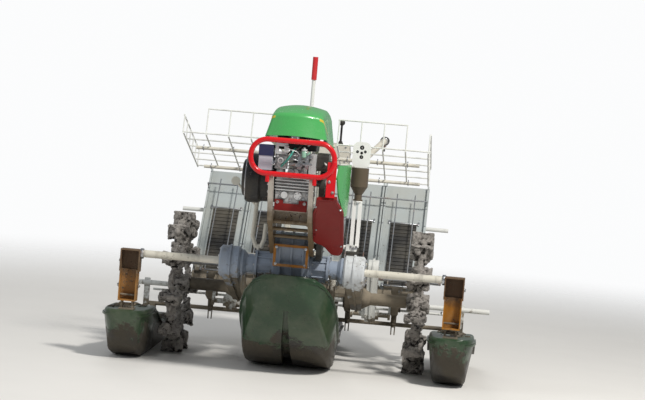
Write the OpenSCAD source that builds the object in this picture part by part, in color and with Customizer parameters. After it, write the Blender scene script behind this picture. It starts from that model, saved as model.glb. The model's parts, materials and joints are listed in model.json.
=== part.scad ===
// Walk-behind four-row rice transplanter, all sizes in millimetres.
// +X is the machine's left side, +Y its rear and +Z up.
// The origin is on the floor, under the middle of the length and width.

/* [Overall] */
// Length from the guard loop to the ends of the grips
overall_l = 2200; // [2100:10:2400]
// Distance from the front of the guard loop back to the swing case pivots
pivot_setback = 430; // [400:5:460]
// Height of the swing case pivots above the floor
pivot_z = 432; // [425:1:450]
// Distance from the pivots back to the lower slide rail
rail_setback = 765; // [750:5:820]

/* [Paddy wheels] */
// Distance between the middles of the two wheels
tread = 1008; // [990:2:1040]
// Radius over the tips of the lugs
wheel_r = 300; // [280:1:305]
// Width of a lug
lug_w = 88; // [70:1:92]
// Thickness of a lug
lug_t = 15; // [8:1:20]
// Number of lugs
lug_count = 11; // [9:1:13]
// Depth of a lug from its tip to the rim
lug_depth = 62; // [50:1:75]
// Radius of the rim's tube
rim_tube_r = 11; // [8:0.5:14]
// Number of spokes
spoke_count = 5; // [4:1:6]
// Radius of a spoke
spoke_r = 9; // [7:0.5:11]
// Radius of the wheel hub
hub_r = 34; // [30:1:40]
// Length of the wheel hub
hub_l = 84; // [70:1:88]
// Radius of the wheel axle
axle_r = 14; // [12:0.5:18]

/* [Swing cases] */
// Distance of a swing case's middle from the centre plane
case_x = 249; // [247:1:254]
// Thickness of a swing case at its pivot
case_t = 84; // [78:1:86]
// Thickness of a swing case below its pivot
case_slim_t = 60; // [52:1:70]
// Thickness of a swing case at the wheel
case_low_t = 44; // [40:1:52]
// Distance between a swing case's pivot and its wheel axle
case_l = 452; // [440:1:470]
// Radius of the pivot end
case_pivot_r = 62; // [56:1:66]
// Radius of the wheel end
case_axle_r = 52; // [46:1:58]
// Radius of the trunnion that a swing case turns on
trunnion_r = 36; // [30:1:40]
// Radius of the tube that carries the wheel axle
axle_tube_r = 26; // [22:1:30]

/* [Drive] */
// Half width of the transmission case, also where the side rails lie against it
gearbox_hw = 69; // [64:1:72]
// Radius of a fixed axle case
axle_case_r = 48; // [42:1:52]

/* [Engine] */
// Height of the crankshaft
crank_z = 782; // [775:1:790]
// Distance of the crankshaft behind the front of the guard loop
crank_setback = 235; // [220:1:250]
// Width of the crankcase
crankcase_w = 126; // [110:1:134]
// Number of cooling fins on the cylinder
fin_count = 6; // [4:1:8]
// Radius of the recoil starter
starter_r = 96; // [80:1:104]

/* [Guard and bonnet] */
// Width of the guard loop
guard_w = 340; // [300:2:360]
// Height of the guard loop
guard_h = 150; // [140:2:160]
// Radius of the guard loop's tube
guard_tube_r = 10; // [8:0.5:12]
// Height of the middle of the guard loop
guard_z = 878; // [865:1:885]
// Thickness of the bonnet's wall
bonnet_wall = 4; // [3:0.5:6]
// Height of the top of the bonnet
bonnet_top_z = 1080; // [1065:1:1090]
// Length of the bonnet
bonnet_l = 530; // [500:5:535]

/* [Floats] */
// Distance of a side float's middle from the centre plane
side_float_x = 658; // [656:1:675]
// Half width of a side float
side_float_hw = 95; // [85:1:95]
// Half width of the centre float at its nose
centre_float_hw = 198; // [180:1:202]
// Half width of the centre float between the planting rows
centre_float_tail_hw = 165; // [140:1:172]
// Length of a side float
side_float_l = 900; // [850:5:950]
// Length of the centre float
centre_float_l = 1360; // [1300:5:1400]

/* [Seedling platform] */
// Distance between neighbouring rows of one pair
row_pitch = 200; // [196:1:204]
// Width of one seedling lane
lane_w = 180; // [170:1:188]
// Length of the platform along its slope
platform_l = 640; // [600:5:660]
// Slope of the platform
platform_slope = 47; // [44:0.5:50]
// Length of the lower slide rail
rail_l = 1620; // [1500:10:1680]
// Radius of the lower slide rail
rail_r = 11; // [9:0.5:13]

/* [Handle and racks] */
// Height of the grips
grip_z = 930; // [900:5:960]
// Distance between the grips
grip_spread = 520; // [480:5:560]
// Radius of the handle tubes
handle_r = 14; // [12:0.5:16]
// Radius of a grip
grip_r = 17; // [16:0.5:20]
// Width of one spare seedling rack
rack_w = 380; // [360:5:400]
// Length of one spare seedling rack
rack_l = 570; // [520:5:600]
// Radius of a rack wire
wire_r = 3; // [2.5:0.25:4]

/* [Hidden] */

round_fn = 48;
running_gap = 0.05;
seat_gap = 0.3;

front_y = -overall_l / 2;
rear_y = overall_l / 2;
pivot_y = front_y + pivot_setback;
rail_y = pivot_y + rail_setback;
crank_y = front_y + crank_setback;

// A parked wheel stands on two neighbouring lugs.
lug_step = 360 / lug_count;
wheel_z = wheel_r * cos(lug_step / 2) + lug_t / 2 * sin(lug_step / 2);
case_drop = pivot_z - wheel_z;
case_reach = sqrt(case_l * case_l - case_drop * case_drop);
wheel_y = pivot_y + case_reach;
wheel_x = tread / 2;
case_inner_x = case_x - case_t / 2;
case_outer_x = case_x + case_t / 2;
rim_r = wheel_r - lug_depth;

steel = [0.72, 0.73, 0.74];
cream = [0.82, 0.81, 0.76];
case_grey = [0.50, 0.55, 0.62];
rust_orange = [0.62, 0.34, 0.08];
guard_red = [0.78, 0.06, 0.06];
cover_red = [0.45, 0.04, 0.05];
body_green = [0.13, 0.55, 0.20];
float_green = [0.08, 0.25, 0.12];
black = [0.06, 0.06, 0.07];
mud = [0.35, 0.33, 0.30];

// Points of an outline round two circles joined by their outer tangents.
function slot_points(a, ra, b, rb, n = 14) =
    let (d = norm(b - a),
         ang = atan2(b[1] - a[1], b[0] - a[0]),
         spread = acos((ra - rb) / d))
    concat(
        [for (i = [0:n]) a + ra * [cos(ang + spread + (360 - 2 * spread) * i / n),
                                   sin(ang + spread + (360 - 2 * spread) * i / n)]],
        [for (i = [0:n]) b + rb * [cos(ang - spread + 2 * spread * i / n),
                                   sin(ang - spread + 2 * spread * i / n)]]);

// Points of a rounded rectangle round the origin, half sizes hw and hh.
function round_rect(hw, hh, r, n = 4) =
    [for (c = [[1, 1, 0], [-1, 1, 90], [-1, -1, 180], [1, -1, 270]], i = [0:n])
        [c[0] * (hw - r) + r * cos(c[2] + 90 * i / n),
         c[1] * (hh - r) + r * sin(c[2] + 90 * i / n)]];

// A solid skinned over rings of points that all have the same count.
module loft(rings) {
    n = len(rings[0]);
    m = len(rings);
    points = [for (ring = rings) each ring];
    sides = [for (j = [0:m - 2], i = [0:n - 1])
        let (k = (i + 1) % n)
        each [[j * n + i, j * n + k, (j + 1) * n + k], [j * n + i, (j + 1) * n + k, (j + 1) * n + i]]];
    ends = [[for (i = [n - 1:-1:0]) i], [for (i = [0:n - 1]) (m - 1) * n + i]];
    polyhedron(points = points, faces = concat(sides, ends), convexity = 4);
}

// A round bar from point a to point b.
module rod(a, b, r) {
    d = b - a;
    length = norm(d);
    translate(a)
        rotate([0, acos(d[2] / length), atan2(d[1], d[0])])
            cylinder(h = length, r = r, $fn = round_fn);
}

// A bent bar through a list of points, with a slightly larger ball at each bend.
bend_bulge = 0.6;

module bent_bar(points, r) {
    for (i = [0:len(points) - 2]) rod(points[i], points[i + 1], r);
    for (i = [1:len(points) - 2]) translate(points[i]) sphere(r = r + bend_bulge, $fn = round_fn);
}

// A cylinder along X from x0 to x1 round the line at y and z.
module x_cylinder(x0, x1, y, z, r) {
    translate([x0, y, z]) rotate([0, 90, 0]) cylinder(h = x1 - x0, r = r, $fn = round_fn);
}

// A cone along X, with radius r0 at x0 and r1 at x1.
module x_cone(x0, x1, y, z, r0, r1) {
    translate([x0, y, z]) rotate([0, 90, 0]) cylinder(h = x1 - x0, r1 = r0, r2 = r1, $fn = round_fn);
}

// Extrudes an outline drawn in Y and Z along X, from x0 to x1.
module x_extrude(x0, x1) {
    translate([x0, 0, 0])
        rotate([90, 0, 90])
            linear_extrude(x1 - x0) children();
}

module box(x0, x1, y0, y1, z0, z1) {
    translate([x0, y0, z0]) cube([x1 - x0, y1 - y0, z1 - z0]);
}

module both_sides() {
    children();
    mirror([1, 0, 0]) children();
}

// Transmission case: a casting from the input shaft down to the pivot line
input_y = pivot_y - 55;
input_z = pivot_z + 90;
gearbox_r = 74;
input_r = 52;
spine_z = pivot_z + 28;
spine_hw = 28;
spine_hh = 30;
spine_y = pivot_y + gearbox_r + 14;

cast_rib_t = 6;

module transmission_case() {
    color(case_grey) {
        x_extrude(-gearbox_hw, gearbox_hw)
            polygon(slot_points([pivot_y, pivot_z], gearbox_r, [input_y, input_z], input_r));
        for (x = [-46, 0, 46])
            x_extrude(x - cast_rib_t / 2, x + cast_rib_t / 2)
                polygon(slot_points([pivot_y, pivot_z], gearbox_r + 9, [input_y, input_z], input_r + 9));
        box(-spine_hw - 12, spine_hw + 12, pivot_y, spine_y,
            spine_z - spine_hh - 12, spine_z + spine_hh + 12);
    }
}

// Orange frame before the transmission, bolted between the side rails
frame_bar = 10;
frame_top_z = input_z + 6;
frame_low_z = pivot_z + 8;
frame_y = input_y - 78;

module transmission_guard() {
    color(rust_orange)
        difference() {
            box(-gearbox_hw, gearbox_hw, frame_y, frame_y + 14, frame_low_z, frame_top_z);
            box(frame_bar - gearbox_hw, gearbox_hw - frame_bar, frame_y - 1, frame_y + 15,
                frame_low_z + frame_bar, frame_top_z - frame_bar);
        }
}

// Fixed axle cases with the trunnions that the swing cases turn on
flange_r = axle_case_r + 9;
flange_t = 12;
trunnion_l = 34;
trunnion_end = case_inner_x + trunnion_l;
joint_x = gearbox_hw + 70;
joint_t = 10;
cast_ribs = 10;
neck_r = axle_case_r - 10;

module axle_case() {
    x_cylinder(gearbox_hw, joint_x, pivot_y, pivot_z, axle_case_r);
    x_cylinder(gearbox_hw, gearbox_hw + flange_t, pivot_y, pivot_z, flange_r);
    x_cylinder(joint_x, joint_x + joint_t, pivot_y, pivot_z, flange_r);
    x_cylinder(joint_x, case_inner_x - flange_t, pivot_y, pivot_z, neck_r);
    x_cone(case_inner_x - flange_t - 14, case_inner_x - flange_t, pivot_y, pivot_z, neck_r, axle_case_r + 2);
    x_cylinder(case_inner_x - flange_t, case_inner_x - seat_gap, pivot_y, pivot_z, axle_case_r + 4);
    x_cylinder(case_inner_x - 1, trunnion_end, pivot_y, pivot_z, trunnion_r);
    for (i = [0:cast_ribs - 1])
        translate([gearbox_hw, pivot_y, pivot_z]) rotate([360 * i / cast_ribs + 18, 0, 0])
            translate([2, -2.5, neck_r]) cube([joint_x - gearbox_hw, 5, flange_r - neck_r - 3]);
}

module axle_cases() {
    color(case_grey) both_sides() axle_case();
}

// Swing case: two halves that meet at a flange, drawn for the left side
seam_t = 8;
seam_h = 8;
pipe_r = 15;

// Tapers a swing case in thickness, from its pivot down to the wheel
// columns: half thickness, distance along the case
wedge_half = [[case_slim_t / 2, -case_pivot_r * 1.4], [case_slim_t / 2, case_pivot_r], [case_low_t / 2,
    case_l],
    [case_low_t / 2, case_l + case_pivot_r * 1.4]];

module case_wedge() {
    angle = atan2(wheel_z - pivot_z, wheel_y - pivot_y);
    translate([case_x, pivot_y, pivot_z]) rotate([angle, 0, 0]) translate([0, 0, -case_pivot_r * 2])
        linear_extrude(case_pivot_r * 4)
            polygon(concat([for (q = wedge_half) [q[0], q[1]]], [for (i = [3:-1:0])
                [-wedge_half[i][0], wedge_half[i][1]]]));
}

module swing_case() {
    pivot = [pivot_y, pivot_z];
    axle = [wheel_y, wheel_z];
    low_x = case_x + case_low_t / 2;
    difference() {
        union() {
            intersection() {
                x_extrude(case_inner_x, case_outer_x)
                    polygon(slot_points(pivot, case_pivot_r, axle, case_axle_r));
                case_wedge();
            }
            x_extrude(case_x - seam_t / 2, case_x + seam_t / 2)
                polygon(slot_points(pivot, case_pivot_r + seam_h, axle, case_axle_r + seam_h));
            x_cylinder(case_inner_x + 7, case_outer_x - 7, pivot_y, pivot_z, case_pivot_r + 2);
            x_cone(case_inner_x, case_inner_x + 7, pivot_y, pivot_z, case_pivot_r - 6, case_pivot_r + 2);
            x_cone(case_outer_x - 7, case_outer_x, pivot_y, pivot_z, case_pivot_r + 2, case_pivot_r - 6);
            x_cylinder(low_x - 2, wheel_x - hub_l / 2 - 6, wheel_y, wheel_z, axle_tube_r);
            x_cone(low_x - 2, low_x + 34, wheel_y, wheel_z, case_axle_r - 6, axle_tube_r + 1);
        }
        x_cylinder(case_inner_x - 1, trunnion_end + 1, pivot_y, pivot_z, trunnion_r + running_gap);
        x_cylinder(trunnion_end, case_outer_x + 1, pivot_y, pivot_z, pipe_r + running_gap);
        x_cylinder(case_x, wheel_x, wheel_y, wheel_z, axle_r + running_gap);
    }
}

module swing_case_left() {
    color(case_grey) swing_case();
}

module swing_case_right() {
    color(case_grey) mirror([1, 0, 0]) swing_case();
}

module axle() {
    x_cylinder(case_x + 1, wheel_x + hub_l / 2 + 5, wheel_y, wheel_z, axle_r);
}

module axle_left() {
    color(steel) axle();
}

module axle_right() {
    color(steel) mirror([1, 0, 0]) axle();
}

// Paddy wheel: hub, spokes, a tube rim and a ring of paddle lugs that flare from the rim
lug_root = 46;

module wheel() {
    translate([wheel_x, wheel_y, wheel_z])
        rotate([0, 90, 0])
            difference() {
                union() {
                    translate([0, 0, -hub_l / 2]) cylinder(h = hub_l, r = hub_r, $fn = round_fn);
                    rotate_extrude($fn = 64) translate([rim_r, 0]) circle(r = rim_tube_r, $fn = 16);
                    for (i = [0:spoke_count - 1])
                        rotate([0, 0, i * 360 / spoke_count + 10])
                            rod([hub_r - 8, 0, 0], [rim_r, 0, 0], spoke_r);
                    for (i = [0:lug_count - 1])
                        rotate([0, 0, (i + 0.5) * lug_step])
                            translate([0, lug_t / 2, 0])
                                rotate([90, 0, 0])
                                    linear_extrude(lug_t)
                                        polygon([[rim_r - 8, -lug_root / 2], [rim_r + 16, -lug_w / 2],
                                            [wheel_r, -lug_w / 2], [wheel_r, lug_w / 2],
                                            [rim_r + 16, lug_w / 2], [rim_r - 8, lug_root / 2]]);
                }
                translate([0, 0, -hub_l]) cylinder(h = 2 * hub_l, r = axle_r + running_gap, $fn = round_fn);
            }
}

module wheel_left() {
    color(mud) wheel();
}

module wheel_right() {
    color(mud) mirror([1, 0, 0]) wheel();
}

// Engine mount: two side rails with gussets and the bed under the engine
mount_bar_w = 18;
mount_bar_r = 17;
bed_z = crank_z - 102;
bed_t = 8;
bed_front = crank_y - 135;
bed_rear = crank_y + 90;
gusset_t = 6;
rung_count = 3;
rung_step = 0.21;
rung_r = 7;
rail_top = [front_y + 36, guard_z - guard_h / 2 - 10];
rail_knee = [bed_front + 10, bed_z - 30];
rail_foot = [input_y - 30, input_z - 20];

module engine_mount() {
    color(cream) {
        both_sides() {
            x_extrude(gearbox_hw, gearbox_hw + mount_bar_w)
                polygon(slot_points(rail_top, mount_bar_r, rail_knee, mount_bar_r));
            x_extrude(gearbox_hw, gearbox_hw + mount_bar_w)
                polygon(slot_points(rail_knee, mount_bar_r, rail_foot, mount_bar_r));
            x_extrude(gearbox_hw, gearbox_hw + gusset_t)
                polygon([rail_knee, rail_foot, [bed_rear, bed_z], [bed_front, bed_z]]);
        }
        box(-gearbox_hw - gusset_t, gearbox_hw + gusset_t, bed_front, bed_rear, bed_z - bed_t, bed_z);
        for (i = [0:rung_count - 1])
            let (q = rail_knee + (rail_foot - rail_knee) * (0.16 + i * rung_step))
                x_cylinder(-gearbox_hw - 1, gearbox_hw + 1, q[0], q[1], rung_r);
        difference() {
            box(-gearbox_hw - 1, gearbox_hw + 1, bed_front + 12, bed_front + 70,
                bed_z - bed_t - 56, bed_z - bed_t + 1);
            box(-gearbox_hw + 3, gearbox_hw - 3, bed_front + 11, bed_front + 66,
                bed_z - bed_t - 57, bed_z - bed_t - 4);
        }
    }
}

// Red plate that the engine stands against
module bed_plate() {
    color(cover_red)
        difference() {
            box(-gearbox_hw + 6, gearbox_hw - 6, bed_front - 4, bed_front, bed_z - bed_t, bed_z + 34);
            box(-30, 30, bed_front - 5, bed_front + 1, bed_z + 20, bed_z + 35);
        }
}

// Red guard loop with its two stubs
guard_corner_r = 62;
guard_y = front_y + guard_tube_r;
stub_x = gearbox_hw + mount_bar_w + 3;
stub_t = 6;
plate_x0 = guard_w / 2 - 34;
plate_x1 = guard_w / 2 + 1;
plate_low_z = crank_z - 42;

module front_guard() {
    loop_hw = guard_w / 2 - guard_tube_r;
    loop_hh = guard_h / 2 - guard_tube_r;
    arc_x = loop_hw - guard_corner_r;
    arc_z = loop_hh - guard_corner_r;
    // columns: side in X, side in Z, first angle of the bend
    corners = [[1, 1, 0], [-1, 1, 90], [-1, -1, 180], [1, -1, 270]];
    color(guard_red) {
        for (c = corners)
            translate([c[0] * arc_x, guard_y, guard_z + c[1] * arc_z])
                rotate([90, 0, 0])
                    rotate([0, 0, c[2]])
                        rotate_extrude(angle = 90, $fn = round_fn)
                            translate([guard_corner_r, 0]) circle(r = guard_tube_r, $fn = round_fn);
        box(plate_x0, plate_x1, guard_y, guard_y + 5, plate_low_z, guard_z - arc_z);
        for (s = [-1, 1]) {
            rod([-arc_x, guard_y, guard_z + s * loop_hh], [arc_x, guard_y, guard_z + s * loop_hh],
                guard_tube_r);
            rod([s * loop_hw, guard_y, guard_z - arc_z], [s * loop_hw, guard_y, guard_z + arc_z],
                guard_tube_r);
            rod([s * stub_x, guard_y, guard_z - loop_hh], [s * stub_x, guard_y, rail_top[1] - 12], 8);
            box(s * stub_x - stub_t / 2, s * stub_x + stub_t / 2, guard_y, rail_top[0] + 10,
                rail_top[1] - 12, rail_top[1] + 12);
        }
    }
}

// Crankcase with ribs across its front
crankcase_top = crank_z + 16;
crankcase_front = crank_y - 130;
rib_count = 4;
rib_low_z = crank_z - 32;

module crankcase() {
    hw = crankcase_w / 2;
    color(steel) {
        box(-hw, hw, crankcase_front, crank_y + 80, bed_z, crankcase_top);
        for (i = [0:rib_count - 1])
            box(-hw - 4, hw + 2, crankcase_front - 9, crankcase_front + 30,
                rib_low_z + i * 12, rib_low_z + i * 12 + 4);
        translate([-28, crankcase_front, bed_z + 52]) rotate([90, 0, 0])
            cylinder(h = 14, r = 13, $fn = round_fn);
        translate([24, crankcase_front, bed_z + 52]) rotate([90, 0, 0])
            cylinder(h = 10, r = 15, $fn = round_fn);
        x_cylinder(hw, hw + 14, crank_y, crank_z - 32, 44);
        x_cylinder(hw, 135, crank_y, crank_z, 14);
    }
}

// Finned cylinder and its head, standing on the crankcase
cylinder_x = 30;
cylinder_y = crank_y - 65;
fin_hw = 55;
fin_pitch = 12;
fin_t = 3.5;
head_h = 26;

head_z = fin_count * fin_pitch;

module cylinder_block() {
    color(steel)
        translate([cylinder_x, cylinder_y, crankcase_top]) {
            cylinder(h = head_z + 2, r = fin_hw - 14, $fn = round_fn);
            for (i = [0:fin_count - 1])
                translate([-fin_hw, -fin_hw, (i + 0.7) * fin_pitch]) cube([2 * fin_hw, 2 * fin_hw, fin_t]);
            translate([-fin_hw + 6, -fin_hw + 6, head_z]) cube([2 * fin_hw - 12, 2 * fin_hw - 12, head_h]);
            for (i = [0:5])
                translate([-fin_hw + 14 + i * 15, -fin_hw + 10, head_z + head_h - 1])
                    cube([4, 2 * fin_hw - 20, 11]);
            translate([-36, -fin_hw - 22, 0]) cube([58, 34, 44]);
            translate([-22, -fin_hw - 20, 24]) rotate([90, 0, 0]) cylinder(h = 12, r = 13, $fn = round_fn);
            translate([8, -fin_hw - 20, 20]) rotate([90, 0, 0]) cylinder(h = 9, r = 11, $fn = round_fn);
            translate([27, -fin_hw - 14, 22]) cube([29, 15, 78]);
        }
}

// Carburettor between the air cleaner and the cylinder, on the crankcase
carb_x = -48;

module carburettor() {
    color(steel) {
        box(carb_x - 14, carb_x + 14, crankcase_front + 4, crankcase_front + 34, crankcase_top,
            crankcase_top + 38);
        box(carb_x - 25, carb_x + 21, crankcase_front - 18, crankcase_front + 30,
            crankcase_top + 34, crankcase_top + 92);
        difference() {
            box(carb_x - 26, carb_x + 21, crankcase_front - 26, crankcase_front - 10,
                crankcase_top + 90, crankcase_top + 132);
            box(carb_x - 14, carb_x + 30, crankcase_front - 27, crankcase_front - 9,
                crankcase_top + 100, crankcase_top + 120);
        }
        translate([carb_x, crankcase_front - 17, crankcase_top + 52]) rotate([90, 0, 0])
            cylinder(h = 10, r = 15, $fn = round_fn);
    }
}

// Recoil starter on the machine's right, with the fan housing behind it
shroud_l = 70;
starter_l = 72;

module recoil_starter() {
    x0 = crankcase_w / 2;
    edge = 16;
    // columns: distance from the crankcase, radius
    profile = concat([[0, 0], [0, starter_r - 8], [shroud_l - 6, starter_r - 8], [shroud_l, starter_r - 4],
            [shroud_l + 4, starter_r]],
        [for (i = [0:5]) [shroud_l + starter_l - edge - 14 + edge * sin(18 * i),
            starter_r - edge + edge * cos(18 * i)]],
        [[shroud_l + starter_l - 14, starter_r - 22], [shroud_l + starter_l - 4, starter_r - 26],
            [shroud_l + starter_l, starter_r - 34], [shroud_l + starter_l, 0]]);
    color(black)
        translate([-x0, crank_y, crank_z])
            rotate([0, -90, 0])
                rotate_extrude($fn = round_fn) polygon([for (q = profile) [q[1], q[0]]]);
}

// Air cleaner box with its intake pipe
cleaner_x = -80;
cleaner_z = crank_z + 42;

module air_cleaner() {
    color([0.10, 0.11, 0.22]) box(cleaner_x - 56, cleaner_x, crank_y - 174, crank_y - 98,
        cleaner_z + 54, cleaner_z + 96);
    color([0.85, 0.86, 0.86]) box(cleaner_x - 54, cleaner_x - 2, crank_y - 172, crank_y - 100, cleaner_z,
        cleaner_z + 54);
    color(steel) x_cylinder(cleaner_x - 3, carb_x - 25, crank_y - 125, cleaner_z + 30, 11);
}

// Muffler on the machine's left
muffler_x = cylinder_x + fin_hw + 3;
muffler_z = crank_z + 52;

module muffler() {
    color([0.16, 0.15, 0.14]) {
        translate([muffler_x, crank_y - 75, muffler_z + 34])
            rotate([90, 0, 90])
                linear_extrude(44) polygon(round_rect(62, 34, 18));
        x_cylinder(cylinder_x + fin_hw, muffler_x + 1, cylinder_y, muffler_z + 20, 12);
        x_cylinder(muffler_x + 43, muffler_x + 58, crank_y - 120, muffler_z + 34, 9);
    }
}

// Fuel tank under the bonnet, on a post from the crankcase
tank_z = crank_z + 124;

module fuel_tank() {
    color(black) {
        translate([0, crank_y + 5, tank_z])
            linear_extrude(70) polygon(round_rect(78, 98, 26));
        translate([-20, crank_y + 40, tank_z + 69]) cylinder(h = 16, r = 26, $fn = round_fn);
        box(-18, 18, crank_y + 52, crank_y + 76, crankcase_top, tank_z + 1);
    }
}

// Two pulleys and the belt from the crankshaft to the transmission's input shaft
belt_x = 96;
belt_w = 22;
engine_pulley_r = 42;
input_pulley_r = 45;
belt_t = 7;

module belt_drive() {
    crank = [crank_y, crank_z];
    input = [input_y, input_z];
    color([0.20, 0.20, 0.21]) {
        difference() {
            x_extrude(belt_x, belt_x + belt_w)
                polygon(slot_points(crank, engine_pulley_r + belt_t, input, input_pulley_r + belt_t));
            x_extrude(belt_x - 1, belt_x + belt_w + 1)
                polygon(slot_points(crank, engine_pulley_r, input, input_pulley_r));
        }
        difference() {
            union() {
                x_cylinder(belt_x, belt_x + belt_w, crank_y, crank_z, engine_pulley_r + 1);
                x_cylinder(belt_x, belt_x + belt_w, input_y, input_z, input_pulley_r + 1);
            }
            x_cylinder(belt_x - 1, belt_x + belt_w + 1, crank_y, crank_z, 14 + running_gap);
        }
        x_cylinder(gearbox_hw, belt_x + 1, input_y, input_z, 12);
    }
}

// Red cover before the belt: a bottle-shaped pan that hangs from the guard and leans back
cover_x = 147;
cover_t = 4;
cover_rim = 14;
cover_top_y = guard_y + 5;
cover_knee = [cover_top_y, crank_z - 50];
cover_foot = [input_y - 75, pivot_z + 68];
cover_lean = atan2(cover_foot[0] - cover_knee[0], cover_knee[1] - cover_foot[1]);
cover_l = norm(cover_foot - cover_knee);
cover_tab = cover_knee + (cover_foot - cover_knee) * 0.64;
neck_x0 = 6;
neck_x1 = 37;

module cover_outline() {
    polygon([[neck_x0, 4], [neck_x1, 4], [neck_x1, -20], [46, -36], [57, -52], [60, -76], [60, -cover_l + 16],
        [50, -cover_l + 4], [36, -cover_l], [-20, -cover_l], [-34, -cover_l + 8], [-58, -cover_l + 74],
        [-60, -cover_l + 92], [-60, -40], [-54, -28], [neck_x0 - 4, -22]]);
}

module belt_cover() {
    color(cover_red) {
        box(cover_x + neck_x0, cover_x + neck_x1 - 12, cover_top_y, cover_top_y + cover_t, cover_knee[1] - 2,
            plate_low_z + 30);
        translate([cover_x, cover_knee[0] + 1, cover_knee[1]])
            rotate([90 + cover_lean, 0, 0])
                translate([0, 0, -cover_rim])
                    difference() {
                        linear_extrude(cover_rim) cover_outline();
                        translate([0, 0, -cover_t]) linear_extrude(cover_rim)
                            translate([2, -cover_l / 2]) scale(0.94) translate([-2, cover_l / 2])
                                cover_outline();
                    }
        box(gearbox_hw + mount_bar_w, cover_x - 52, cover_tab[0] - 6, cover_tab[0] + 14, cover_tab[1] - 14,
            cover_tab[1] + 10);
    }
}

// Green side panel: a sheet that curves out to the rear, on a strut from the crankcase
// columns: distance from the centre plane, distance behind the crankshaft
panel_curve = [[168, -74], [176, -52], [187, -16], [197, 36], [203, 90], [206, 150]];
panel_t2 = 5;
panel_top_z = crank_z + 78;
panel_low_z = crank_z - 124;

module side_panel() {
    back = len(panel_curve) - 1;
    color(body_green) {
        intersection() {
            translate([0, 0, panel_low_z])
                linear_extrude(panel_top_z - panel_low_z)
                    polygon(concat([for (q = panel_curve) [q[0], crank_y + q[1]]],
                        [for (i = [back:-1:0]) [panel_curve[i][0] - panel_t2, crank_y + panel_curve[i][1]]]));
            x_extrude(120, 240)
                polygon([[crank_y - 62, panel_top_z + 1], [crank_y + 148, panel_top_z + 1],
                    [crank_y + 146, panel_low_z + 60], [crank_y + 110, panel_low_z - 1],
                    [crank_y + 30, panel_low_z - 1], [crank_y - 50, crank_z - 40], [crank_y - 74,
                        crank_z + 30]]);
        }
        box(crankcase_w / 2 - 24, 200, crank_y + 59, crank_y + 79, crankcase_top, crankcase_top + 8);
    }
}

// Bonnet: an open-bottomed shell over rounded sections
nose_y = front_y + 45;
hinge_y = nose_y + bonnet_l - 16;
hinge_z = crank_z + 140;
hinge_r = 6;
// columns: distance behind the nose, half width, lower edge, top below the bonnet's top, lean
bonnet_sections = [[0, 106, 962, 40, 0.16], [5, 114, 957, 33, 0.16], [22, 119, 954, 25, 0.14], [60, 120,
    950, 13, 0.1],
    [120, 120, 943, 3, 0.05], [200, 120, 936, 0, 0], [320, 120, 924, 5, 0], [430, 119, 912, 18, 0],
    [bonnet_l, 117, 902, 38, 0]];

function arch(y, hw, z0, z1, lean, n = 24) =
    [for (i = [0:n])
        let (a = 180 * i / n, c = cos(a), h = pow(abs(sin(a)), 0.62))
        [hw * (1 - 0.16 * h * h) * sign(c) * pow(abs(c), 0.5), y + lean * (z1 - z0) * h, z0 + (z1 - z0) * h]];

module bonnet() {
    last = len(bonnet_sections) - 1;
    color(body_green)
        difference() {
            loft([for (q = bonnet_sections) arch(nose_y + q[0], q[1], q[2], bonnet_top_z - q[3], q[4])]);
            loft([for (i = [0:last])
                let (q = bonnet_sections[i],
                     y = nose_y + q[0] + (i == 0 ? bonnet_wall : i == 1 ? 2 : i == last ? 1 : 0))
                arch(y, q[1] - bonnet_wall, q[2] - 12, bonnet_top_z - q[3] - bonnet_wall, q[4])]);
            x_cylinder(-150, 150, hinge_y, hinge_z, hinge_r + running_gap);
        }
}

// Pipes out to the float brackets, on the pivot line of the swing cases
bracket_x = 612;
bracket_w = 80;

module cross_pipes() {
    color(cream) both_sides() x_cylinder(trunnion_end, bracket_x, pivot_y, pivot_z, pipe_r);
}

// Channel brackets that carry the side floats: an upper and a lower channel, open to the front
bracket_d = 56;
bracket_t = 5;
bracket_top = pivot_z + pipe_r;
bracket_mid = bracket_top - 90;
bracket_low = bracket_top - 208;
bracket_step = 4;
side_deck_z = 205;
tail_deck_z = 118;

module float_brackets() {
    back = pivot_y + bracket_d / 2;
    front = pivot_y - bracket_d / 2;
    color(rust_orange) both_sides() {
        difference() {
            box(bracket_x, bracket_x + bracket_w, front, back, bracket_mid, bracket_top);
            box(bracket_x + bracket_t, bracket_x + bracket_w - bracket_t, front - 1, back - bracket_t,
                bracket_mid - 1, bracket_top - bracket_t);
        }
        difference() {
            box(bracket_x + bracket_step, bracket_x + bracket_w - bracket_step, front - 6,
                back - bracket_t - 3,
                bracket_low, bracket_mid + 8);
            box(bracket_x + bracket_step + bracket_t, bracket_x + bracket_w - bracket_step - bracket_t,
                front - 7,
                back - 2 * bracket_t - 3, bracket_low + bracket_t, bracket_mid + 9);
        }
        box(bracket_x + bracket_t - 1, bracket_x + bracket_w - bracket_t + 1, back - bracket_t - 4,
            back - bracket_t + 1,
            bracket_mid, bracket_mid + 8);
    }
}

// Floats: sections with a flat bottom, rising to a rounded nose
float_corner_r = 20;
lip_w = 4;
lip_h = 6;

// A float's outline: a rounded box whose sides lean in towards the bottom by the share flare
function float_ring(x, y, hw, z0, z1, r, flare) =
    [for (p = round_rect(hw, (z1 - z0) / 2, r, 5))
        [x + p[0] * (1 - flare * (0.5 - p[1] / (z1 - z0))), y, (z0 + z1) / 2 + p[1]]];

// The thin lip where a float's upper and lower shells meet
function lip_ring(x, y, hw, z) =
    [for (p = [[hw, z], [hw, z + lip_h], [-hw, z + lip_h], [-hw, z]]) [x + p[0], y, p[1]]];

centre_nose_y = pivot_y - 190;
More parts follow.
